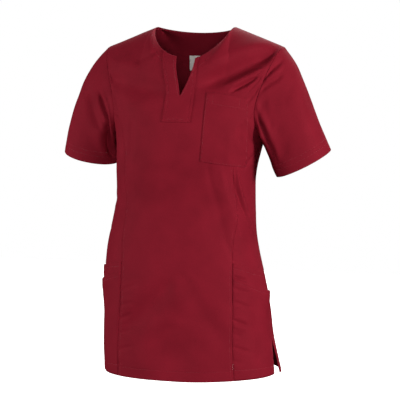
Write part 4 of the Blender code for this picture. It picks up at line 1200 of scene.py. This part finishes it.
def build_chest_pocket():
    side = folded_edge(POCKET_TURN, (POCKET_LINE,), True)
    hem = folded_edge(POCKET_HEM, (POCKET_HEM_LINE,))
    wide, deep = CHEST_POCKET_WIDE, CHEST_POCKET_DEEP
    first = folded_edge(POCKET_TURN, (POCKET_LINE, BAR_PLACES[0] * wide))
    last = folded_edge(POCKET_TURN, (POCKET_LINE, (1 - BAR_PLACES[1]) * wide))
    across, up, right, rise, depth = patch(first, last, side, hem, wide, deep, POCKET_SPACING)
    point, out = chest_pocket_cloth(across, up)
    lift = edge_marks(right, rise, side) + edge_marks(wide - right, rise, side)
    lift = lift + edge_marks(rise, right, side) + edge_marks(deep - rise, right, hem) - TURN_GAP * depth
    on_hem = smooth_step((rise - deep + POCKET_HEM_LINE) / BAR_RISE)
    for bar in BAR_PLACES:
        lift = lift + on_hem * edge_marks(right - bar * wide, rise, Edge(None, None, (0.0,), False))
    piece = add_cloth("chest_pocket_cloth", Sheet(point, out, lift, stack(right, rise, 0.0)), "chest_pocket")


def pocket_edge(pocket, across, layer):
    """Height of a side pocket's slanting edge, a share of the way from princess to side seam."""
    drop = layer * mixed(pocket.front_drop, pocket.side_drop, across)
    return pocket.front_edge + (pocket.side_edge - pocket.front_edge) * across - drop


def layer_lift(pocket, across, height, layer):
    """How far a layer of a side pocket lifts off what is below: most at its fold and near the side."""
    edge = pocket_edge(pocket, across, layer)
    up = (height - HEM) / (edge - HEM)
    gape = pocket.gape * np.sin(math.pi * across**GAPE_TO_SIDE)
    gape = gape + FRONT_GAPE * np.sin(math.pi * across**GAPE_TO_FRONT)
    gape = gape * smooth_step((up - GAPE_START) / (1 - GAPE_START))
    at_hem = 1 - smooth_step((edge - height - SIDE_POCKET_HEM) / SIDE_POCKET_HEM)
    at_hem = at_hem * smooth_step(across / CAUGHT_SHARE)
    gape = gape * (height < edge + SIDE_POCKET_HEM)
    return FLAT_LAYER + (LIFT_ON_PANEL - FLAT_LAYER) * at_hem + gape


def side_pocket_cloth(pocket, layer, across, up):
    """Cloth of a side pocket at shares across it and up it, and the way out."""
    bottom = HEM + POCKET_HEM_INSET
    height = bottom + (pocket_edge(pocket, across, layer) - bottom) * up
    seam = princess_share(height, pocket.side)
    point, out = worn(pocket.side * (seam + across * (1 - seam)), height, "front")
    lift = sum(layer_lift(pocket, across, height, below) for below in range(layer + 1))
    return point + out * lift[..., None], out


def build_side_pocket(pocket, name, layer):
    side = caught_edge(FLAT_LAYER * (layer + 1))
    hem = folded_edge(SIDE_POCKET_HEM, (SIDE_POCKET_HEM_LINE,), True)
    bottom = caught_edge(FLAT_LAYER * (layer + 1), (HEM_LINE - POCKET_HEM_INSET,))
    wide, deep = SIDE_POCKET_WIDE, SIDE_POCKET_DEEP[layer]
    across, up, right, rise, depth = patch(side, side, bottom, hem, wide, deep, POCKET_SPACING)
    point, out = side_pocket_cloth(pocket, layer, across, up)
    lift = edge_marks(right, rise, side) + edge_marks(wide - right, rise, side)
    lift = lift + edge_marks(rise, right, bottom) + edge_marks(deep - rise, right, hem) - TURN_GAP * depth
    sheet = Sheet(point, out, lift, stack(right, rise, 0.0))
    piece = add_cloth(name + pocket.tag + "_cloth", sheet, name + pocket.tag)


# ------------------------------------------------------------------ placket, facing and label
PLACKET_SPACING = 2.2 * MM
PLACKET_LINE = 6 * MM  # stitching inside the placket's border
FACING_BEYOND_NECK = 0.12  # share by which the facing reaches past the neck point, along the shoulder
FACING_LIFT = 3.4 * MM  # of the facing's cloth inside the back's
FACING_TURN, FACING_ROWS = 6 * MM, 16
LABEL_WIDTH, LABEL_DROP, LABEL_LEAN = 0.056, 0.032, 0.10
LABEL_OFFSET = -9 * MM  # of its middle, to the wearer's right
LABEL_TURN = 5 * MM
LABEL_BEHIND, LABEL_UP = 1.8 * MM, 3 * MM  # where it starts: inside the facing, above its lower edge
LABEL_CURL, LABEL_BOW = 2.5 * MM, 1.2 * MM  # how far its end curls and its middle bows out
LABEL_FLARED = 0.1  # share of the facing's flare at the label
LABEL_SPACING = 2 * MM
LABEL_THICKNESS = 0.35 * MM
LABEL_TURN_GAP = 0.5  # of TURN_GAP, under its turned ends


def placket_edge(height, side):
    """Share at which the placket's outer edge lies."""
    least = slit_share(height, side) + PLACKET_LEAST_SHARE
    wider = (PLACKET_TOP_RIGHT - PLACKET_HALF_WIDTH) * up_yoke(height) if side < 0 else 0.0
    return np.maximum(yoke_share_at(PLACKET_HALF_WIDTH + wider, height, float(side)), least)


def build_placket():
    slit = folded_edge(POCKET_TURN)
    border = folded_edge(POCKET_TURN, (PLACKET_LINE,), True)
    top = folded_edge(SEAM_TURN)
    rows = panel_rows(PLACKET_BOTTOM, border, None, top, PLACKET_SPACING)
    fold = int(np.argmin(slit.place))

    def half(side):
        sheet, _, height = panel(
            "front",
            rows,
            lambda h: side * slit_share(h, side),
            lambda h: side * placket_edge(h, side),
            slit,
            border,
            PLACKET_SPACING,
            top,
        )
        marks = edge_marks(height - PLACKET_BOTTOM, sheet.weave[..., 0], border)
        return Sheet(sheet.point, sheet.out, sheet.lift + marks + LIFT_ON_PANEL, sheet.weave), height

    sheet, index, keep = opened_at_slit(half, fold)
    piece = add_cloth("slit_placket_cloth", sheet, "slit_placket", index=index, keep=keep)


def build_facing():
    """The facing inside the back neck, deeper towards the shoulder seams."""
    edge = folded_edge(FACING_TURN)
    deep = FACING_DEPTH - edge.place[-1]
    rows = [(FLARED, FACING_DEPTH - p, d) for p, d in zip(edge.place, edge.depth)]
    rows += [(FLARED, p, 0.0) for p in np.linspace(deep, edge.place[-1], FACING_ROWS)[1:-1]]
    rows = rows_of(rows + edge_rows(FLARED, edge))
    end = NECK_SHARE + FACING_BEYOND_NECK
    grid, _, _ = panel("back", rows, constant(-end), constant(end), edge, edge, BACK_SPACING, edge)
    sheet = Sheet(grid.point, grid.out, -FACING_LIFT - grid.lift, grid.weave)
    piece = add_cloth("back_neck_facing_cloth", sheet, "back_neck_facing")


def label_cloth(across, down):
    """The label's cloth: it hangs from the facing's lower edge, slightly bowed."""
    middle = np.array([0.0])
    lower_edge = under_top(top_run("back"), FACING_DEPTH + LABEL_FLARED * FACING_FLARE, middle)
    top, out = form_surface(middle, lower_edge, "back")
    start = top[0] - out[0] * (FACING_LIFT + LABEL_BEHIND) + np.array([0.0, 0.0, LABEL_UP])
    curl = LABEL_CURL * down**2 + LABEL_BOW * np.sin(math.pi * across) * down
    x = LABEL_OFFSET + LABEL_WIDTH * (across - 0.5)
    return start + stack(x, LABEL_LEAN * LABEL_DROP * down - curl, -LABEL_DROP * down)


def build_label():
    edge, plain = folded_edge(LABEL_TURN), open_edge()
    size = (LABEL_WIDTH, LABEL_DROP)
    across, up, right, rise, depth = patch(plain, plain, edge, edge, *size, LABEL_SPACING)
    point = label_cloth(across, 1 - up)
    out = np.broadcast_to(unit(np.array([0.0, -1.0, -LABEL_LEAN])), point.shape)
    sheet = Sheet(point, out, -TURN_GAP * LABEL_TURN_GAP * depth, stack(right, rise, 0.0))
    piece = add_cloth(
        "neck_label_cloth", sheet, "neck_label", "white_satin_tape", thickness=LABEL_THICKNESS
    )


# ------------------------------------------------------------------ stitches
STITCH_SIDES = 5
STITCH_RINGS = [(-0.30, 0.92), (0.0, 1.0), (0.30, 0.92)]  # place along a stitch and width there
STITCH_DIP = 1.1  # of the thread's width, how far its ends go into the cloth
STITCH_GAP = 0.16  # of a stitch's length, left before the next one
STITCH_LIFT = 0.1  # of the thread's width, which its middle stands over the cloth's face
STITCH_SIGHT = 0.4  # of the way to the next stitch, over which a direction is read

# Where lines of stitches run. How many points a line is laid through stands with it, below.
PRINCESS_FROM, PRINCESS_SHORT = 1 * MM, 14 * MM  # above the hem, and below the princess seam's end
HEM_ENDS, HEM_OFF_SEAM = (-0.99, 0.99), 0.01  # shares of the width
VENT_FROM, VENT_FROM_SHARE = 2 * MM, 0.01  # above the hem, and the same as a share of the pocket
NECK_ENDS, NECK_OFF_SLIT = 0.005, 0.02  # shares left free at the neck points and beside the slit
BACK_NECK_LINE = 3 * MM
SLIT_LINE = 4 * MM  # from the slit's edge
BOX_LINE = 8 * MM  # from the slit's bottom down to the box's upper line
PLACKET_LINES_END = {1: -30 * MM, -1: -12 * MM}  # heights, on the left (1) and the right (-1)
POCKET_ENDS, CHEST_POCKET_ENDS = (0.02, 0.98), (0.01, 0.99)  # shares of a pocket's width
BAR_END = 0.985  # share of the way up the chest pocket


def stitch_shape():
    """Points and faces of one stitch, one long along x, one wide, its ends dipping."""
    points, faces = [(-0.5, 0.0, -STITCH_DIP)], []
    for place, width in STITCH_RINGS:
        for corner in range(STITCH_SIDES):
            angle = 2 * math.pi * corner / STITCH_SIDES
            lowered = -STITCH_DIP * (2 * place) ** 2
            points.append((place, 0.5 * width * math.cos(angle), 0.5 * width * math.sin(angle) + lowered))
    points.append((0.5, 0.0, -STITCH_DIP))
    last, final_ring = len(points) - 1, len(points) - 1 - STITCH_SIDES
    for corner in range(STITCH_SIDES):
        after = (corner + 1) % STITCH_SIDES
        faces.append((0, 1 + after, 1 + corner))
        faces.append((last, final_ring + corner, final_ring + after))
        for ring in range(len(STITCH_RINGS) - 1):
            a, b = 1 + ring * STITCH_SIDES, 1 + (ring + 1) * STITCH_SIDES
            faces.append((a + corner, a + after, b + after))
            faces.append((a + corner, b + after, b + corner))
    return np.array(points), np.array(faces)


def stitched(point, out, lift=0.0):
    """Middles, directions and ways out of the stitches along a line of points."""
    length, thread = settings().stitch_length, settings().thread_width
    run = lengths_along(point[None])[0]
    pitch = length * (1 + STITCH_GAP)
    places = np.arange(pitch / 2, run[-1] - pitch / 4, pitch)
    height = lift + settings().thickness / 2 + STITCH_LIFT * thread
    raised = point + out * height

    def at(values, where):
        return np.stack([np.interp(where, run, values[:, i]) for i in range(3)], axis=1)

    ahead, behind = (at(raised, places + step * pitch) for step in (STITCH_SIGHT, -STITCH_SIGHT))
    along = unit(ahead - behind)
    return at(raised, places), along, unit(at(out, places))


def build_stitching(name, runs):
    """All of one part's stitches, as one piece."""
    length, thread = settings().stitch_length, settings().thread_width
    shape, faces = stitch_shape()
    middle, along, out = (np.concatenate(values) for values in zip(*runs))
    side = unit(np.cross(out, along))
    parts = along[:, None] * (shape[:, 0] * length)[None, :, None]
    parts = parts + side[:, None] * (shape[:, 1] * thread)[None, :, None]
    parts = parts + out[:, None] * (shape[:, 2] * thread)[None, :, None]
    vertices = (middle[:, None] + parts).reshape(-1, 3)
    all_faces = (faces[None] + (np.arange(len(middle)) * len(shape))[:, None, None]).reshape(-1, 3)
    mesh = bpy.data.meshes.new(name)
    mesh.from_pydata(vertices.tolist(), [], all_faces.tolist())
    mesh.shade_smooth()
    add_piece(name, mesh, "sewing_thread")


def body_line(share, height, half="front", lift=-GROOVE_DEPTH):
    return stitched(*worn(share, height, half), lift)


def pocket_line(pocket, layer, across, up, lift=-GROOVE_DEPTH):
    return stitched(*side_pocket_cloth(pocket, layer, *np.broadcast_arrays(across, up)), lift)


def inset_share(height, side, distance):
    """Share on the centre front that lies a distance from a princess seam."""
    return side * (princess_share(height, side) - distance / HALF_GIRTH)


def princess_stitches():
    height = np.linspace(HEM + PRINCESS_FROM, PRINCESS_TOP - PRINCESS_SHORT, 260)
    return [body_line(inset_share(height, side, PRINCESS_LINE + SEAM_CLEAR), height) for side in (-1, 1)]


def hem_stitches():
    share, level = np.linspace(*HEM_ENDS, 260), HEM + HEM_LINE + 2 * SEAM_CLEAR
    front = share[np.abs(share) < float(princess_share(HEM, 1)) - HEM_OFF_SEAM]
    up = (HEM_LINE - POCKET_HEM_INSET + SEAM_CLEAR) / SIDE_POCKET_DEEP[1]
    runs = [body_line(front, level), body_line(share, level, "back")]
    return runs + [pocket_line(pocket, 1, np.linspace(*POCKET_ENDS, 60), up) for pocket in SIDE_POCKETS]


def vent_stitches():
    """A line beside each edge of the side vents."""
    height = np.linspace(HEM + VENT_FROM, VENT_TOP, 60)
    up = np.linspace(VENT_FROM_SHARE, (VENT_TOP - HEM) / SIDE_POCKET_DEEP[1], 60)
    runs = []
    for pocket in reversed(SIDE_POCKETS):
        runs.append(body_line(pocket.side * (1 - VENT_LINE / HALF_GIRTH), height, "back", 0.0))
        runs.append(pocket_line(pocket, 1, 1 - VENT_LINE / SIDE_POCKET_WIDE, up, 0.0))
    return runs


def neckline_stitches():
    share = np.linspace(-NECK_SHARE + NECK_ENDS, NECK_SHARE - NECK_ENDS, 200)
    height = under_top_each(top_run("front"), np.full(200, NECK_LINE + SEAM_CLEAR), share)
    runs = []
    for side in (-1, 1):
        clear = placket_edge(height, side) if side < 0 else slit_share(height, side) + NECK_OFF_SLIT
        inside = (side * share) > clear
        runs.append(body_line(share[inside], height[inside]))
    back = np.linspace(-NECK_SHARE, NECK_SHARE, 120)
    level = under_top_each(top_run("back"), np.full(120, BACK_NECK_LINE), back)
    return runs + [body_line(back, level, "back", 0.0)]


def placket_stitches():
    """Lines inside the placket's border, beside the slit, and round the box below it."""
    lift = LIFT_ON_PANEL - GROOVE_DEPTH
    runs = []
    for side in (-1, 1):
        top = PLACKET_LINES_END[side]
        height = np.linspace(PLACKET_BOTTOM + PLACKET_LINE, top, 160)
        share = placket_edge(height, side) - PLACKET_LINE / HALF_GIRTH
        wide_enough = share > slit_share(height, side) + SLIT_LINE / HALF_GIRTH
        runs.append(body_line(side * share[wide_enough], height[wide_enough], lift=lift))
        height = np.linspace(SLIT_BOTTOM, top, 120)
        share = slit_share(height, side) + SLIT_LINE / HALF_GIRTH
        runs.append(body_line(side * share, height, lift=lift + GROOVE_DEPTH))
    reach = (PLACKET_HALF_WIDTH - PLACKET_LINE) / HALF_GIRTH
    share = np.linspace(-reach, reach, 60)
    for height in (PLACKET_BOTTOM + PLACKET_LINE, SLIT_BOTTOM - BOX_LINE):
        runs.append(body_line(share, height, lift=lift))
    return runs


def cuff_stitches(sleeve):
    rim_table = armhole_rim(sleeve.side)
    turn = np.linspace(0.0, 1.0, 160)
    lengths = sleeve_lengths(sleeve, rim_table, turn)
    runs = []
    for line in CUFF_LINES:
        along = down_sleeve(lengths, (lengths[:, -1] - line - 2 * SEAM_CLEAR)[:, None])[:, 0]
        point, out = worn_sleeve(sleeve, rim_table, turn[None], along[None])
        runs.append(stitched(point[0], out[0], -GROOVE_DEPTH))
    return runs


def chest_pocket_stitches():
    wide, deep = CHEST_POCKET_WIDE, CHEST_POCKET_DEEP
    low = (POCKET_LINE + SEAM_CLEAR) / deep
    high = 1 - (POCKET_HEM_LINE + SEAM_CLEAR) / deep
    side = (POCKET_LINE + SEAM_CLEAR) / wide
    whole = np.linspace(*CHEST_POCKET_ENDS, 120)
    lines = [(side, whole), (1 - side, whole), (whole, low), (whole, high)]
    lines += [(bar, np.linspace(high, BAR_END, 30)) for bar in BAR_PLACES]
    return [stitched(*chest_pocket_cloth(*np.broadcast_arrays(*line)), -GROOVE_DEPTH) for line in lines]


def side_pocket_stitches():
    """A line under the slanting edge of each layer of the side pockets."""
    across = np.linspace(*POCKET_ENDS, 80)
    runs = []
    for pocket in SIDE_POCKETS:
        for layer, deep in enumerate(SIDE_POCKET_DEEP):
            up = 1 - (SIDE_POCKET_HEM_LINE + SEAM_CLEAR) / deep
            runs.append(pocket_line(pocket, layer, across, up))
    return runs


# ------------------------------------------------------------------ materials
def shares_of(hex_value):
    """Red, green and blue of an sRGB hex colour, each from 0 to 1."""
    return tuple(int(hex_value[i : i + 2], 16) / 255 for i in (1, 3, 5))


def linear(colour):
    """sRGB hex or numbers turned into the linear colour that nodes take, by sRGB's own curve."""
    if isinstance(colour, str):
        colour = shares_of(colour)
    return tuple(c / 12.92 if c <= 0.04045 else ((c + 0.055) / 1.055) ** 2.4 for c in colour[:3]) + (1.0,)


def node(tree, kind, links=(), **values):
    """Adds a node: values set its sockets or its properties, links join outputs to its sockets."""
    made = tree.nodes.new(kind)
    for name, value in values.items():
        socket = name.replace("_", " ")
        if socket in made.inputs:
            made.inputs[socket].default_value = value
        else:
            setattr(made, name, value)
    for socket, output in dict(links).items():
        tree.links.new(output, made.inputs[socket])
    return made


def empty_material(name):
    old = bpy.data.materials.get(name)
    if old:
        bpy.data.materials.remove(old)
    material = bpy.data.materials.new(name)
    material.use_nodes = True
    material.node_tree.nodes.clear()
    return material, material.node_tree


MIX_FIRST, MIX_SECOND, MIX_RESULT = 6, 7, 2  # places of a mix node's sockets for colours
BANDS_PER_UNIT = 20 / (2 * math.pi)  # of a wave texture of scale 1
RIB_LEAN = math.radians(52)
YARN_GRAIN = 2.381 * MM  # of the spun yarn's fuzz: several yarns wide, because one alone would be lost
DYE_PATCH = 45.45 * MM  # where the dye took a little more or less
TWISTS_ACROSS = 900.0  # twists of thread over a piece's whole reach, each about half a millimetre
SATIN_RIB = 1.963 * MM  # drawn about ten times as coarse as real, or it would be lost


def twill_material():
    """Piece-dyed polyester and cotton twill: soft sheen, fine diagonal ribs, a slightly uneven dye."""
    material, tree = empty_material("wine_red_poly_cotton_twill")
    cloth = settings()
    weave = {"Vector": node(tree, "ShaderNodeAttribute", attribute_name="weave").outputs["Vector"]}
    # ribs climb to the right; the real ones are 0.45 mm apart and are drawn wider, or they would be lost
    turned = node(tree, "ShaderNodeMapping", weave, Rotation=(0, 0, RIB_LEAN))
    ribs = node(
        tree,
        "ShaderNodeTexWave",
        {"Vector": turned.outputs["Vector"]},
        Scale=1 / (BANDS_PER_UNIT * cloth.rib_spacing),
        Distortion=0.6,
        Detail=1.0,
        Detail_Scale=3.0,
    )
    yarn = node(tree, "ShaderNodeTexNoise", weave, Scale=1 / YARN_GRAIN, Detail=3.0)
    dye = node(tree, "ShaderNodeTexNoise", weave, Scale=1 / DYE_PATCH, Detail=2.0)
    uneven = node(
        tree,
        "ShaderNodeMapRange",
        {"Value": dye.outputs["Fac"]},
        From_Min=0.3,
        From_Max=0.7,
        To_Min=0.93,
        To_Max=1.07,
    )
    fuzz = node(
        tree,
        "ShaderNodeMapRange",
        {"Value": yarn.outputs["Fac"]},
        From_Min=0.25,
        From_Max=0.75,
        To_Min=0.92,
        To_Max=1.08,
    )
    shade = node(tree, "ShaderNodeMath", {0: uneven.outputs[0], 1: fuzz.outputs[0]}, operation="MULTIPLY")
    by_shade = {MIX_SECOND: shade.outputs[0]}
    colour = node(tree, "ShaderNodeMix", by_shade, data_type="RGBA", blend_type="MULTIPLY", Factor=1.0)
    colour.inputs[MIX_FIRST].default_value = linear(cloth.colour)
    relief = node(tree, "ShaderNodeMath", {0: ribs.outputs["Fac"], 1: yarn.outputs["Fac"]}, operation="ADD")
    bump = node(tree, "ShaderNodeBump", {"Height": relief.outputs[0]}, Strength=0.35, Distance=0.10 * MM)
    shader = node(
        tree,
        "ShaderNodeBsdfPrincipled",
        {"Base Color": colour.outputs[MIX_RESULT], "Normal": bump.outputs["Normal"]},
        Roughness=0.72,
        IOR=1.50,
        Specular_IOR_Level=0.035,
        Sheen_Weight=0.03,
        Sheen_Roughness=0.35,
        Sheen_Tint=linear("#C8404C"),
    )
    node(tree, "ShaderNodeOutputMaterial", {"Surface": shader.outputs[0]})
    return material


def thread_material():
    """Spun polyester sewing thread, dyed to match: twisted, a little brighter than the cloth it lies on."""
    material, tree = empty_material("matching_spun_polyester_thread")
    twist = node(tree, "ShaderNodeTexNoise", Scale=TWISTS_ACROSS, Detail=1.0)
    bump = node(tree, "ShaderNodeBump", {"Height": twist.outputs["Fac"]}, Strength=0.4, Distance=0.08 * MM)
    shader = node(
        tree,
        "ShaderNodeBsdfPrincipled",
        {"Normal": bump.outputs["Normal"]},
        Base_Color=linear(settings().thread_colour),
        Roughness=0.5,
        IOR=1.50,
        Specular_IOR_Level=0.45,
        Sheen_Weight=0.2,
    )
    node(tree, "ShaderNodeOutputMaterial", {"Surface": shader.outputs[0]})
    return material


def satin_material():
    """Woven polyester satin tape: smooth and white, with faint lengthwise ribs and a soft shine."""
    material, tree = empty_material("white_woven_satin_tape")
    weave = {"Vector": node(tree, "ShaderNodeAttribute", attribute_name="weave").outputs["Vector"]}
    rib_scale = 1 / (BANDS_PER_UNIT * SATIN_RIB)
    ribs = node(tree, "ShaderNodeTexWave", weave, Scale=rib_scale, Distortion=0.3)
    bump = node(tree, "ShaderNodeBump", {"Height": ribs.outputs["Fac"]}, Strength=0.2, Distance=0.05 * MM)
    shader = node(
        tree,
        "ShaderNodeBsdfPrincipled",
        {"Normal": bump.outputs["Normal"]},
        Base_Color=linear(bpy.context.scene.tunic_label.colour),
        Roughness=0.36,
        IOR=1.50,
        Anisotropic=0.4,
        Sheen_Weight=0.1,
    )
    node(tree, "ShaderNodeOutputMaterial", {"Surface": shader.outputs[0]})
    return material


def floor_material():
    """Matt pale studio paper lit from below as well, which gives nothing but a soft shadow."""
    material, tree = empty_material("matt_pale_studio_paper")
    colour = linear(bpy.context.scene.tunic_stage.floor_colour)
    shader = node(
        tree,
        "ShaderNodeBsdfPrincipled",
        Base_Color=colour,
        Roughness=0.9,
        Specular_IOR_Level=0.1,
        Emission_Color=colour,
        Emission_Strength=FLOOR_GLOW,
    )
    node(tree, "ShaderNodeOutputMaterial", {"Surface": shader.outputs[0]})
    return material


def kept(name, make):
    """Gives the material of that name, and makes it if there is none yet."""
    return lambda: bpy.data.materials.get(name) or make()


MATERIALS = {
    "wine_red_twill": kept("wine_red_poly_cotton_twill", twill_material),
    "sewing_thread": kept("matching_spun_polyester_thread", thread_material),
    "white_satin_tape": kept("white_woven_satin_tape", satin_material),
}


# ------------------------------------------------------------------ settings
def settings():
    return bpy.context.scene.tunic_cloth


def colour_property(name, description, hex_value):
    return FloatVectorProperty(
        name=name,
        description=description,
        default=shares_of(hex_value),
        min=0.0,
        max=1.0,
        size=3,
        subtype="COLOR_GAMMA",
    )


def length_property(name, description, millimetres, least, most):
    return FloatProperty(
        name=name,
        description=description,
        default=millimetres * MM,
        min=least * MM,
        max=most * MM,
        precision=5,
        unit="LENGTH",
        subtype="DISTANCE",
    )


class TunicClothSettings(bpy.types.PropertyGroup):
    """Cloth and thread of the tunic"""

    colour: colour_property("Cloth", "Colour of the dyed twill, as sRGB", "#761523")
    thread_colour: colour_property("Thread", "Colour of the sewing thread, as sRGB", "#811E2B")
    thickness: length_property("Thickness", "Thickness of the twill", 0.45, 0.2, 0.9)
    rib_spacing: length_property("Rib spacing", "Distance between two drawn ribs of the twill", 1.2, 0.4, 3.0)
    stitch_length: length_property("Stitch length", "Length of one stitch", 2.7, 1.5, 5.0)
    thread_width: length_property("Thread width", "Thickness of the sewing thread", 0.5, 0.2, 1.0)
    crease_strength: FloatProperty(
        name="Creases",
        description="Depth of the creases, 1 as worn",
        default=1.0,
        min=0.0,
        max=1.5,
        subtype="FACTOR",
    )


class TunicLabelSettings(bpy.types.PropertyGroup):
    """Blank label in the neck"""

    colour: colour_property("Label", "Colour of the satin tape, as sRGB", "#E4E2DC")


class TunicStageSettings(bpy.types.PropertyGroup):
    """Floor, light and camera"""

    floor_colour: colour_property("Floor", "Colour of the studio paper, as sRGB", "#FAFAFA")
    light: FloatProperty(
        name="Light",
        description="Strength of the studio light",
        default=1.0,
        min=0.1,
        max=4.0,
    )


# ------------------------------------------------------------------ stage
FLOOR_BELOW_HEM = 0.16
FLOOR_SIZE = 5.0
FLOOR_GLOW = 0.62  # strength of the light that the paper gives off itself
CAMERA_TURN, CAMERA_RISE = math.radians(17.0), math.radians(6.0)
CAMERA_DISTANCE = 3.6
CAMERA_TARGET = (0.0, 0.0, -0.36)
CAMERA_LENS, SENSOR = 153.0, 36.0  # mm
CAMERA_SHIFT = (0.0125, -0.005)  # shares of the sensor's width

Lamp = namedtuple("Lamp", "name place size watts")
LAMPS = [
    Lamp("key_softbox", (3.0, -1.1, 0.2), 0.7, 106.0),
    Lamp("left_softbox", (-2.8, -1.4, -0.1), 1.2, 76.0),
    Lamp("front_softbox", (1.0, -3.6, 0.1), 0.9, 62.0),
    Lamp("floor_softbox", (0.0, 2.4, 2.0), 3.0, 160.0),
]


def aimed(obj, place, target):
    """Puts a lamp or camera at a place and points it at a target."""
    direction = Vector(target) - Vector(place)
    obj.location = place
    obj.rotation_euler = direction.to_track_quat("-Z", "Y").to_euler()


def fresh_object(name, data):
    for old in [o for o in bpy.data.objects if o.name == name]:
        bpy.data.objects.remove(old)
    obj = bpy.data.objects.new(name, data)
    bpy.context.scene.collection.objects.link(obj)
    return obj


def build_stage():
    scene = bpy.context.scene
    bpy.ops.mesh.primitive_plane_add(size=FLOOR_SIZE, location=(0.0, 0.0, HEM - FLOOR_BELOW_HEM))
    floor = bpy.context.object
    floor.name = "studio_floor"
    floor.data.materials.append(floor_material())
    # the paper is seen, but throws no light up under the hem
    floor.visible_diffuse = False
    floor.visible_glossy = False
    floor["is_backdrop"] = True
    for lamp in LAMPS:
        data = bpy.data.lights.new(lamp.name, "AREA")
        data.size = lamp.size
        data.energy = lamp.watts * scene.tunic_stage.light
        aimed(fresh_object(lamp.name, data), lamp.place, CAMERA_TARGET)
    world = bpy.data.worlds.new("studio")
    world.use_nodes = True
    world.node_tree.nodes["Background"].inputs["Color"].default_value = (1.0, 1.0, 1.0, 1.0)
    # a white wall far behind, which doesn't light the tunic
    world.cycles_visibility.diffuse = False
    world.cycles_visibility.glossy = False
    scene.world = world
    flat = CAMERA_DISTANCE * math.cos(CAMERA_RISE)
    place = Vector(CAMERA_TARGET) + Vector(
        (flat * math.sin(CAMERA_TURN), -flat * math.cos(CAMERA_TURN), CAMERA_DISTANCE * math.sin(CAMERA_RISE))
    )
    data = bpy.data.cameras.new("studio_camera")
    data.lens, data.sensor_width = CAMERA_LENS, SENSOR
    data.shift_x, data.shift_y = CAMERA_SHIFT
    camera = fresh_object("studio_camera", data)
    aimed(camera, place, CAMERA_TARGET)
    scene.camera = camera
    scene.view_settings.view_transform = "Standard"


# ------------------------------------------------------------------ operators and panel
class TUNIC_OT_body(bpy.types.Operator):
    """Builds the centre front, the side fronts and the back"""

    bl_idname = "tunic.body"
    bl_label = "Body panels"

    def execute(self, context):
        build_centre_front()
        for sleeve in SLEEVES:
            build_side_front(sleeve.tag, sleeve.side)
        build_back()
        return {"FINISHED"}


class TUNIC_OT_sleeves(bpy.types.Operator):
    """Builds both sleeves"""

    bl_idname = "tunic.sleeves"
    bl_label = "Sleeves"

    def execute(self, context):
        for sleeve in SLEEVES:
            build_sleeve(sleeve)
        return {"FINISHED"}


class TUNIC_OT_pockets(bpy.types.Operator):
    """Builds the chest pocket and the two layers of each side pocket"""

    bl_idname = "tunic.pockets"
    bl_label = "Pockets"

    def execute(self, context):
        build_chest_pocket()
        for pocket in SIDE_POCKETS:
            build_side_pocket(pocket, "side_pocket_", 0)
            build_side_pocket(pocket, "outer_pocket_", 1)
        return {"FINISHED"}


class TUNIC_OT_neck(bpy.types.Operator):
    """Builds the placket of the neck slit, the back neck facing and the blank label"""

    bl_idname = "tunic.neck"
    bl_label = "Placket, facing and label"

    def execute(self, context):
        build_placket()
        build_facing()
        build_label()
        return {"FINISHED"}


class TUNIC_OT_stitching(bpy.types.Operator):
    """Builds the visible stitches"""

    bl_idname = "tunic.stitching"
    bl_label = "Stitching"

    def execute(self, context):
        build_stitching("stitches_neck", neckline_stitches() + placket_stitches())
        build_stitching("stitches_body", princess_stitches() + hem_stitches() + vent_stitches())
        build_stitching("stitches_pockets", chest_pocket_stitches() + side_pocket_stitches())
        for sleeve in SLEEVES:
            build_stitching("stitches_cuff_" + sleeve.tag, cuff_stitches(sleeve))
        return {"FINISHED"}


class TUNIC_OT_stage(bpy.types.Operator):
    """Builds the floor, the light and the camera"""

    bl_idname = "tunic.stage"
    bl_label = "Stage"

    def execute(self, context):
        build_stage()
        return {"FINISHED"}


OPERATORS = (
    TUNIC_OT_body,
    TUNIC_OT_sleeves,
    TUNIC_OT_pockets,
    TUNIC_OT_neck,
    TUNIC_OT_stitching,
    TUNIC_OT_stage,
)


class TUNIC_PT_panel(bpy.types.Panel):
    """Builds the scrub tunic step by step"""

    bl_label = "Scrub tunic"
    bl_idname = "TUNIC_PT_panel"
    bl_space_type = "VIEW_3D"
    bl_region_type = "UI"
    bl_category = "Tunic"

    def draw(self, context):
        for group in (context.scene.tunic_cloth, context.scene.tunic_label, context.scene.tunic_stage):
            box = self.layout.box()
            for name in group.__annotations__:
                box.prop(group, name)
        for operator in OPERATORS:
            self.layout.operator(operator.bl_idname)


GROUPS = {
    "tunic_cloth": TunicClothSettings,
    "tunic_label": TunicLabelSettings,
    "tunic_stage": TunicStageSettings,
}


def register():
    for kind in (*GROUPS.values(), *OPERATORS, TUNIC_PT_panel):
        bpy.utils.register_class(kind)
    for name, group in GROUPS.items():
        setattr(bpy.types.Scene, name, PointerProperty(type=group))


def unregister():
    for name in GROUPS:
        delattr(bpy.types.Scene, name)
    for kind in (TUNIC_PT_panel, *reversed(OPERATORS), *GROUPS.values()):
        bpy.utils.unregister_class(kind)


def main():
    register()
    for step in (
        bpy.ops.tunic.body,
        bpy.ops.tunic.sleeves,
        bpy.ops.tunic.pockets,
        bpy.ops.tunic.neck,
        bpy.ops.tunic.stitching,
        bpy.ops.tunic.stage,
    ):
        step()
    boxes = {"cad": CAD_BOX, "looks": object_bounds()}
    {name: [list(corner) for corner in box] for name, box in boxes.items()}


if __name__ == "__main__":
    main()
